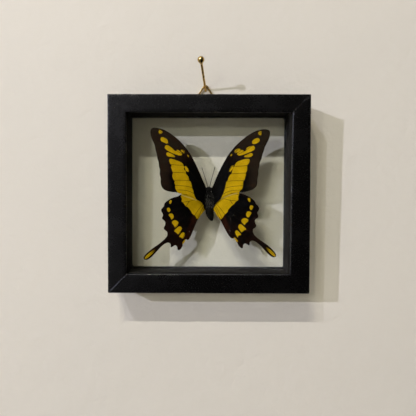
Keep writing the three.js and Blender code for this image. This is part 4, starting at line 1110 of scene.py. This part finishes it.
# compound eyes, palps, and the coiled tongue between them
blob(-1.55, 15.55, 4.15, 0.80, 1.05, 1.05, 2, 0.35)
blob(1.50, 15.55, 4.20, 0.80, 1.05, 1.05, 2, 0.35)
for sx in (-1, 1):
    body.tube(
        [(sx * 0.55, 16.2, 4.2), (sx * 0.60, 15.9, 5.0), (sx * 0.52, 15.3, 5.7), (sx * 0.42, 15.0, 6.15)],
        [0.30, 0.40, 0.34, 0.12], 10, 0, [0.2, 0.3, 0.5, 0.5],
    )
coil = []
for k in range(56):
    w = k * 0.30
    r = 0.95 - 0.013 * k
    coil.append((0.0 + 0.05 * math.sin(w * 0.3), 17.2 + r * math.cos(w), 4.1 + r * math.sin(w)))
body.tube(coil, [0.13 - 0.0008 * k for k in range(56)], 8, 0, 0.35)
# folded legs under the thorax
for sx in (-1, 1):
    for z0, reach, out in ((-0.2, 6.2, 1.1), (-2.6, 7.4, 1.6), (-5.2, 8.2, 1.2)):
        x0, hw, d0, hd = body_at(z0)
        a = (x0 + sx * 0.9, d0 + hd * 0.86, z0)
        b = (x0 + sx * (out + 0.9), 20.3, z0 + 1.4)
        c = (x0 + sx * (out + 0.1), 20.55, z0 - reach * 0.45)
        e = (x0 + sx * (0.7 + out * 0.2), 20.1 if z0 > -4 else 19.9, z0 - reach)
        pts = catmull([a, b, c, e], 0.35, False)
        m = len(pts)
        rad = [0.24 - 0.15 * (k / m) + (0.05 if k in (m // 3, 2 * m // 3) else 0) for k in range(m)]
        body.tube(pts, rad, 8, 0, 0.12)

# fur: long on the thorax and head, short and lying flat on the abdomen
rng = random.Random(11)
for _ in range(5200):
    z = rng.uniform(-9.6, 5.2)
    w = rng.uniform(0, 2 * math.pi)
    x, hw, d, hd = body_at(z)
    root = Vector((x + hw * 0.97 * math.cos(w), d + hd * 0.97 * math.sin(w), z))
    out = Vector((math.cos(w) / hw, math.sin(w) / hd, 0)).normalized()
    down = Vector((rng.gauss(0, 0.22), rng.gauss(0, 0.18), -1.0 if z < 2.4 else 0.55))
    direction = out * rng.uniform(0.25, 0.65) + down * rng.uniform(0.7, 1.2)
    # grey-white streaks along the shoulders and down the middle of the thorax
    streak = math.exp(-((abs(math.cos(w)) - 0.55) / 0.16) ** 2) * (math.sin(w) < 0) * (z < 1.5)
    streak = max(streak, 0.45 * (z > 2.4) * (rng.random() < 0.25), 0.95 * (-9.6 < z < -4.5) * (rng.random() < 0.30))
    pale = streak * rng.uniform(0.05, 0.45) if rng.random() < 0.7 else 0.02
    length = rng.uniform(0.8, 1.9) if z < 2.4 else rng.uniform(0.5, 1.0)
    bend = (rng.gauss(0, 0.12), rng.gauss(0, 0.12), rng.gauss(0, 0.1))
    fleck = -9.6 < z < -2.5 and math.sin(w) < -0.3 and rng.random() < 0.05
    thick = rng.uniform(0.09, 0.13) if fleck else rng.uniform(0.035, 0.06)
    body.hair(root, direction, length * (0.7 if fleck else 1), thick, 0.6 if fleck else 0.03, 1.0 if fleck else pale, bend)
# matted pale tufts behind the wing roots
tuft = random.Random(29)
for _ in range(30):
    z = tuft.uniform(-10.2, -3.0) if tuft.random() < 0.8 else tuft.uniform(-3.0, 1.5)
    w = math.pi * tuft.uniform(1.10, 1.90)
    x, hw, d, hd = body_at(z)
    root = Vector((x + hw * 1.02 * math.cos(w), d + hd * 1.02 * math.sin(w), z))
    lean = Vector((math.cos(w) * 0.5 + tuft.gauss(0, 0.3), math.sin(w) * 0.35, -0.9))
    for _ in range(11):
        start = root + Vector((tuft.gauss(0, 0.14), tuft.gauss(0, 0.10), tuft.gauss(0, 0.14)))
        way = lean + Vector((tuft.gauss(0, 0.16), tuft.gauss(0, 0.1), 0))
        body.hair(start, way, tuft.uniform(0.6, 1.1), tuft.uniform(0.06, 0.10), 0.25, tuft.uniform(0.35, 0.85), (0, 0, 0))
for _ in range(2400):
    z = rng.uniform(-20.2, -9.6)
    w = rng.uniform(0, 2 * math.pi)
    x, hw, d, hd = body_at(z)
    root = Vector((x + hw * math.cos(w), d + hd * math.sin(w), z))
    out = Vector((math.cos(w), math.sin(w), 0))
    direction = out * 0.16 + Vector((0.12 + rng.gauss(0, 0.1), rng.gauss(0, 0.1), -1.0))
    body.hair(root, direction, rng.uniform(0.5, 0.95), 0.03, 0.06, rng.uniform(0.0, 0.035), (0, 0, 0))
# long hairs that lie over the wing roots
for _ in range(900):
    sx = rng.choice((-1, 1))
    z = rng.uniform(-8.5, 1.6)
    x, hw, d, hd = body_at(z)
    root = Vector((x + sx * hw * 0.8, 16.5 - rng.uniform(0.0, 0.7), z))
    reach = rng.uniform(0.5, 1.0)
    direction = (sx * reach, -0.74 * reach - rng.uniform(0.0, 0.16), rng.uniform(-0.9, -0.1))
    body.hair(root, direction, rng.uniform(1.2, 2.6), 0.035, 0.02, rng.uniform(0.0, 0.35), (0, 0, 0))
body.make("specimen_body", [skin, hair_mat, eye_mat], slot="insect_body", replaces=["butterfly_body"], sharp=50)


def antenna(name, node, points):
    b = Build()
    pts = catmull(points, 0.16, False)
    n = len(pts)
    rad, tone = [], []
    for k in range(n):
        u = k / (n - 1)
        club = 0.07 * smoothstep(0.86, 0.95, np.array(u)) * (1 - smoothstep(0.985, 1.0, np.array(u)))
        ring = 0.016 * (1 if k % 3 else -1)
        rad.append(float(0.205 - 0.035 * u + club + ring))
        tone.append(0.20 if k % 6 < 2 else 0.05)
    b.tube(pts, rad, 10, 0, tone)
    b.make(name, [skin, hair_mat, eye_mat], slot="insect_body", replaces=[node], sharp=60)


antenna("feeler_left", "antenna_left", [(-0.6, 15.10, 5.0), (-1.0, 15.05, 6.6), (-2.2, 14.60, 10.6), (-3.9, 14.20, 15.6), (-5.5, 13.90, 20.6)])
antenna("feeler_right", "antenna_right", [(0.5, 15.10, 5.0), (0.8, 15.00, 6.6), (1.9, 14.60, 11.2), (3.3, 14.20, 16.2), (4.6, 13.90, 21.1)])

# ------------------------------------------------------------------ adhesive
dab = Build()
prof = [(0.2, 20.1), (0.9, 20.15), (1.6, 20.4), (1.9, 20.75), (2.1, 21.1), (2.4, 21.45), (2.85, 21.8), (3.15, 22.1), (3.1, 22.28), (0.2, 22.28)]
DN = 40
dv, df = [], []
for r, d in prof:
    for k in range(DN):
        w = 2 * math.pi * k / DN
        g = 1 + 0.10 * n3(math.cos(w) * 1.4, math.sin(w) * 1.4, d * 0.4, 9)
        dv.append((0.7 + r * g * math.cos(w), d, -5.2 + r * g * math.sin(w)))
for i in range(len(prof) - 1):
    for k in range(DN):
        o = (k + 1) % DN
        df.append((i * DN + k, i * DN + o, (i + 1) * DN + o, (i + 1) * DN + k))
df.append(tuple(range(DN - 1, -1, -1)))
df.append(tuple((len(prof) - 1) * DN + k for k in range(DN)))
dab.add(dv, df, 0, 0.0)
dab.make("glue_dab", [glue], slot="clear_adhesive", replaces=["adhesive_dab"], sharp=60)

# ------------------------------------------------------------------ hanging hardware
BAR_D, BAR_Z, RING_APEX_Z, RING_HALF, RING_R, RING_BEND = 31.05, 75.0, 89.1, math.radians(32.15), 0.8, 1.6


def rounded(p, q, r, radius, n):
    a, b = (p - q).normalized(), (r - q).normalized()
    h = a.angle(b) / 2
    c = q + (a + b).normalized() * (radius / math.sin(h))
    s = q + a * (radius / math.tan(h)) - c
    e = q + b * (radius / math.tan(h)) - c
    ang = math.pi - 2 * h
    return [c + s * (math.sin((1 - k / n) * ang) / math.sin(ang)) + e * (math.sin(k / n * ang) / math.sin(ang)) for k in range(n + 1)]


half = (RING_APEX_Z - BAR_Z) * math.tan(RING_HALF)
A, L, R = Vector((0, 0, RING_APEX_Z)), Vector((-half, 0, BAR_Z)), Vector((half, 0, BAR_Z))
centre = rounded(L, A, R, RING_BEND, 14) + rounded(A, R, L, RING_BEND, 12)
centre += [Vector((x, 0, BAR_Z)) for x in np.linspace(half * 0.55, -half * 0.55, 15)]
centre += rounded(R, L, A, RING_BEND, 12)
centre = [p + Vector((ORIGIN_X, BAR_D, 0)) for p in centre]
rv, rf, rs = [], [], 20
n = len(centre)
for k in range(n):
    t = (centre[(k + 1) % n] - centre[k - 1]).normalized()
    out = Vector((0, 1, 0))
    s = t.cross(out).normalized()
    joint = 0.88 if abs(centre[k].x - (ORIGIN_X + 0.0)) < 0.3 and centre[k].z < 76 else 1.0  # the wire's ends meet in the bar
    for j in range(rs):
        w = 2 * math.pi * j / rs
        rv.append(centre[k] + s * RING_R * joint * math.cos(w) + out * RING_R * joint * math.sin(w))
for k in range(n):
    for j in range(rs):
        o = (j + 1) % rs
        m = (k + 1) % n
        rf.append((k * rs + j, k * rs + o, m * rs + o, m * rs + j))
piece("ring_wire", rv, rf, [brass], body="hanger", slot="brass", replaces=["hanger_ring"])

# the nail, in the part's own frame: turned from +Y towards its head
head = Vector((-3.1, -31.0, 14.85))
shank = head.length
NAIL_R, HEAD_R, DRIVEN = 0.95, 2.57, 11.0
prof = [(0.02, -DRIVEN), (0.25, -DRIVEN + 0.5), (0.7, -DRIVEN + 2.0), (NAIL_R, -DRIVEN + 3.2)]
prof += [(NAIL_R * (1 - 0.012 * (k % 2)), y) for k, y in enumerate(np.linspace(-DRIVEN + 4, shank - HEAD_R - 1.4, 26))]
prof += [(NAIL_R + 0.05, shank - HEAD_R - 1.1), (NAIL_R + 0.30, shank - HEAD_R - 0.85), (NAIL_R + 0.42, shank - HEAD_R - 0.55), (NAIL_R + 0.32, shank - HEAD_R * math.cos(0.5))]
for k in range(25):
    w = lerp(0.56, math.pi - 0.008, k / 24)
    prof.append((HEAD_R * math.sin(w), shank - HEAD_R * math.cos(w)))
turn = Vector((0, 1, 0)).rotation_difference(head.normalized())
nv, nf, ns = [], [], 40
for r, y in prof:
    for k in range(ns):
        w = 2 * math.pi * k / ns
        nv.append(turn @ Vector((r * math.cos(w), y, r * math.sin(w))))
for i in range(len(prof) - 1):
    for k in range(ns):
        o = (k + 1) % ns
        nf.append((i * ns + k, i * ns + o, (i + 1) * ns + o, (i + 1) * ns + k))
nf.append(tuple(range(ns - 1, -1, -1)))
nf.append(tuple((len(prof) - 1) * ns + k for k in range(ns)))
piece("nail_brass", nv, nf, [brass], body="hanger", slot="brass", replaces=["hanging_nail"], in_part=True, sharp=50)

for name in ("hanger_strap", "hanger_screw"):
    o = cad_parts[name]
    o.data.materials.clear()
    o.data.materials.append(brass)
    o.data.shade_smooth()
    o.data.set_sharp_from_angle(angle=math.radians(32))
    b = o.modifiers.new("soft_edge", "BEVEL")
    b.width, b.segments, b.limit_method, b.angle_limit = 0.00012, 2, "ANGLE", math.radians(40)

# ------------------------------------------------------------------ backdrop
LEAN = 4.0 / 158.05  # the wall meets the frame's lower back edge, and is 4 mm behind its top


def slab(name, corners, mat):
    me = bpy.data.meshes.new(name)
    me.from_pydata(corners, [], [(0, 1, 2, 3)])
    me.materials.append(mat)
    me.update()
    o = bpy.data.objects.new(name, me)
    bpy.context.scene.collection.objects.link(o)
    return o


def wall_y(z):
    return z * LEAN


slab("backdrop_wall", [(-4, wall_y(-1.4), -1.4), (4, wall_y(-1.4), -1.4), (4, wall_y(2.5), 2.5), (-4, wall_y(2.5), 2.5)], wall_material())
slab("backdrop_floor", [(-4, -2.4, -1.4), (4, -2.4, -1.4), (4, 4, -1.4), (-4, 4, -1.4)], floor_material())

# ------------------------------------------------------------------ light
scene = bpy.context.scene
scene.view_settings.view_transform = "Standard"
scene.view_settings.look = "None"
world = bpy.data.worlds.new("studio")
scene.world = world
world.use_nodes = True
world.node_tree.nodes.clear()
wt = Tree(world.node_tree)
direction = wt.node("ShaderNodeTexCoord").outputs["Generated"]
sep = wt.node("ShaderNodeSeparateXYZ", {0: direction})
front = wt.math("MULTIPLY", sep.outputs[1], -1.0)
# reflections see a dim room, brighter up and to the left of whoever stands in front
open_sky = wt.step(front, 0.90, 0.55, 0.0, 1.0)
left = wt.math("MULTIPLY", sep.outputs[0], -1.0)
high = wt.math("SUBTRACT", sep.outputs[2], wt.math("MULTIPLY", wt.math("MAXIMUM", sep.outputs[0], 0.0), 0.9))
left_up = wt.step(wt.math("MAXIMUM", left, high), 0.19, 0.30)
glossy_level = wt.math("MULTIPLY_ADD", left_up, 0.180, wt.math("MULTIPLY_ADD", open_sky, 0.006, 0.002))
path = wt.node("ShaderNodeLightPath")
ambient = wt.mix(wt.line(sep.outputs[2], -1.0, 1.0), rgb(0.020, 0.024, 0.027), rgb(0.140, 0.139, 0.120))
# the room is brightest straight ahead of the frame
ahead = wt.math("MULTIPLY_ADD", wt.math("POWER", wt.math("MAXIMUM", front, 0.0), 2.0), 1.2, 0.15)
plain = wt.mix(1.0, ambient, wt.node("ShaderNodeCombineColor", {0: ahead, 1: ahead, 2: ahead}), "MULTIPLY")
# and a lit part of the room faces it, which reaches down into the frame
facing = wt.math("POWER", wt.math("MAXIMUM", front, 0.0), 9.0)
glow = wt.mix(1.0, rgb(0.50, 0.44, 0.29), wt.node("ShaderNodeCombineColor", {0: facing, 1: facing, 2: facing}), "MULTIPLY")
plain = wt.mix(1.0, plain, glow, "ADD")
glossy = wt.mix(1.0, rgb(1.0, 0.98, 1.0), wt.node("ShaderNodeCombineColor", {0: glossy_level, 1: glossy_level, 2: glossy_level}), "MULTIPLY")
seen = wt.mix(path.outputs["Is Camera Ray"], plain, rgb(0.60, 0.585, 0.56))
seen = wt.mix(path.outputs["Is Glossy Ray"], seen, glossy)
bg = wt.node("ShaderNodeBackground", {"Color": seen, "Strength": 1.0})
wo = wt.node("ShaderNodeOutputWorld")
wt.put(wo.inputs["Surface"], bg)


def lamp(name, at, colour, radius, in_reflections=True):
    """A small round lamp at a place in frame space."""
    l = bpy.data.lights.new(name, "POINT")
    peak = max(colour)
    l.energy = peak
    l.color = [c / peak for c in colour]
    l.shadow_soft_size = radius
    o = bpy.data.objects.new(name, l)
    o.location = P(*at)
    o.visible_glossy = o.visible_transmission = in_reflections
    scene.collection.objects.link(o)


lamp("lamp_left", (-2288, -2200, 968), (137.0, 137.8, 170.0), 0.015)
lamp("lamp_high", (-607, -1037, 1035), (17.0, 17.2, 19.6), 0.006)
lamp("lamp_top", (-448, -1298, 1304), (23.6, 22.1, 17.9), 0.006)
lamp("lamp_near", (-240, -1300, 1300), (17.5, 17.0, 15.0), 0.006, False)
lamp("lamp_wide", (-750, -1500, 345), (11.0, 11.1, 9.8), 0.04, False)
back = bpy.data.lights.new("lamp_behind", "AREA")
back.energy, back.size = 3.0, 1.6
back.color = (1.0, 0.98, 0.95)
bo = bpy.data.objects.new("lamp_behind", back)
bo.location = (0.9, 1.6, 0.6)
bo.rotation_mode = "QUATERNION"
bo.rotation_quaternion = (Vector((0, 0, -0.08)) - bo.location).to_track_quat("-Z", "Y")
scene.collection.objects.link(bo)

# ------------------------------------------------------------------ camera
yaw, pitch, roll = -5.42931e-03, -2.50765e-02, 2.83957e-03
fwd = Vector((math.sin(yaw) * math.cos(pitch), math.cos(yaw) * math.cos(pitch), math.sin(pitch)))
right = Vector((math.cos(yaw), -math.sin(yaw), 0))
up = right.cross(fwd)
right, up = right * math.cos(roll) + up * math.sin(roll), -right * math.sin(roll) + up * math.cos(roll)
cam = bpy.data.cameras.new("camera")
cam.sensor_width, cam.sensor_height, cam.sensor_fit = 36.0, 36.0, "HORIZONTAL"
cam.lens = 36.0
cam.clip_start, cam.clip_end = 0.01, 30.0
co = bpy.data.objects.new("camera", cam)
m = Matrix((right, up, -fwd)).transposed().to_4x4()
m.translation = Vector((4.097 * MM, -340.484 * MM, -86.782 * MM))
co.matrix_world = m
scene.collection.objects.link(co)
scene.camera = co
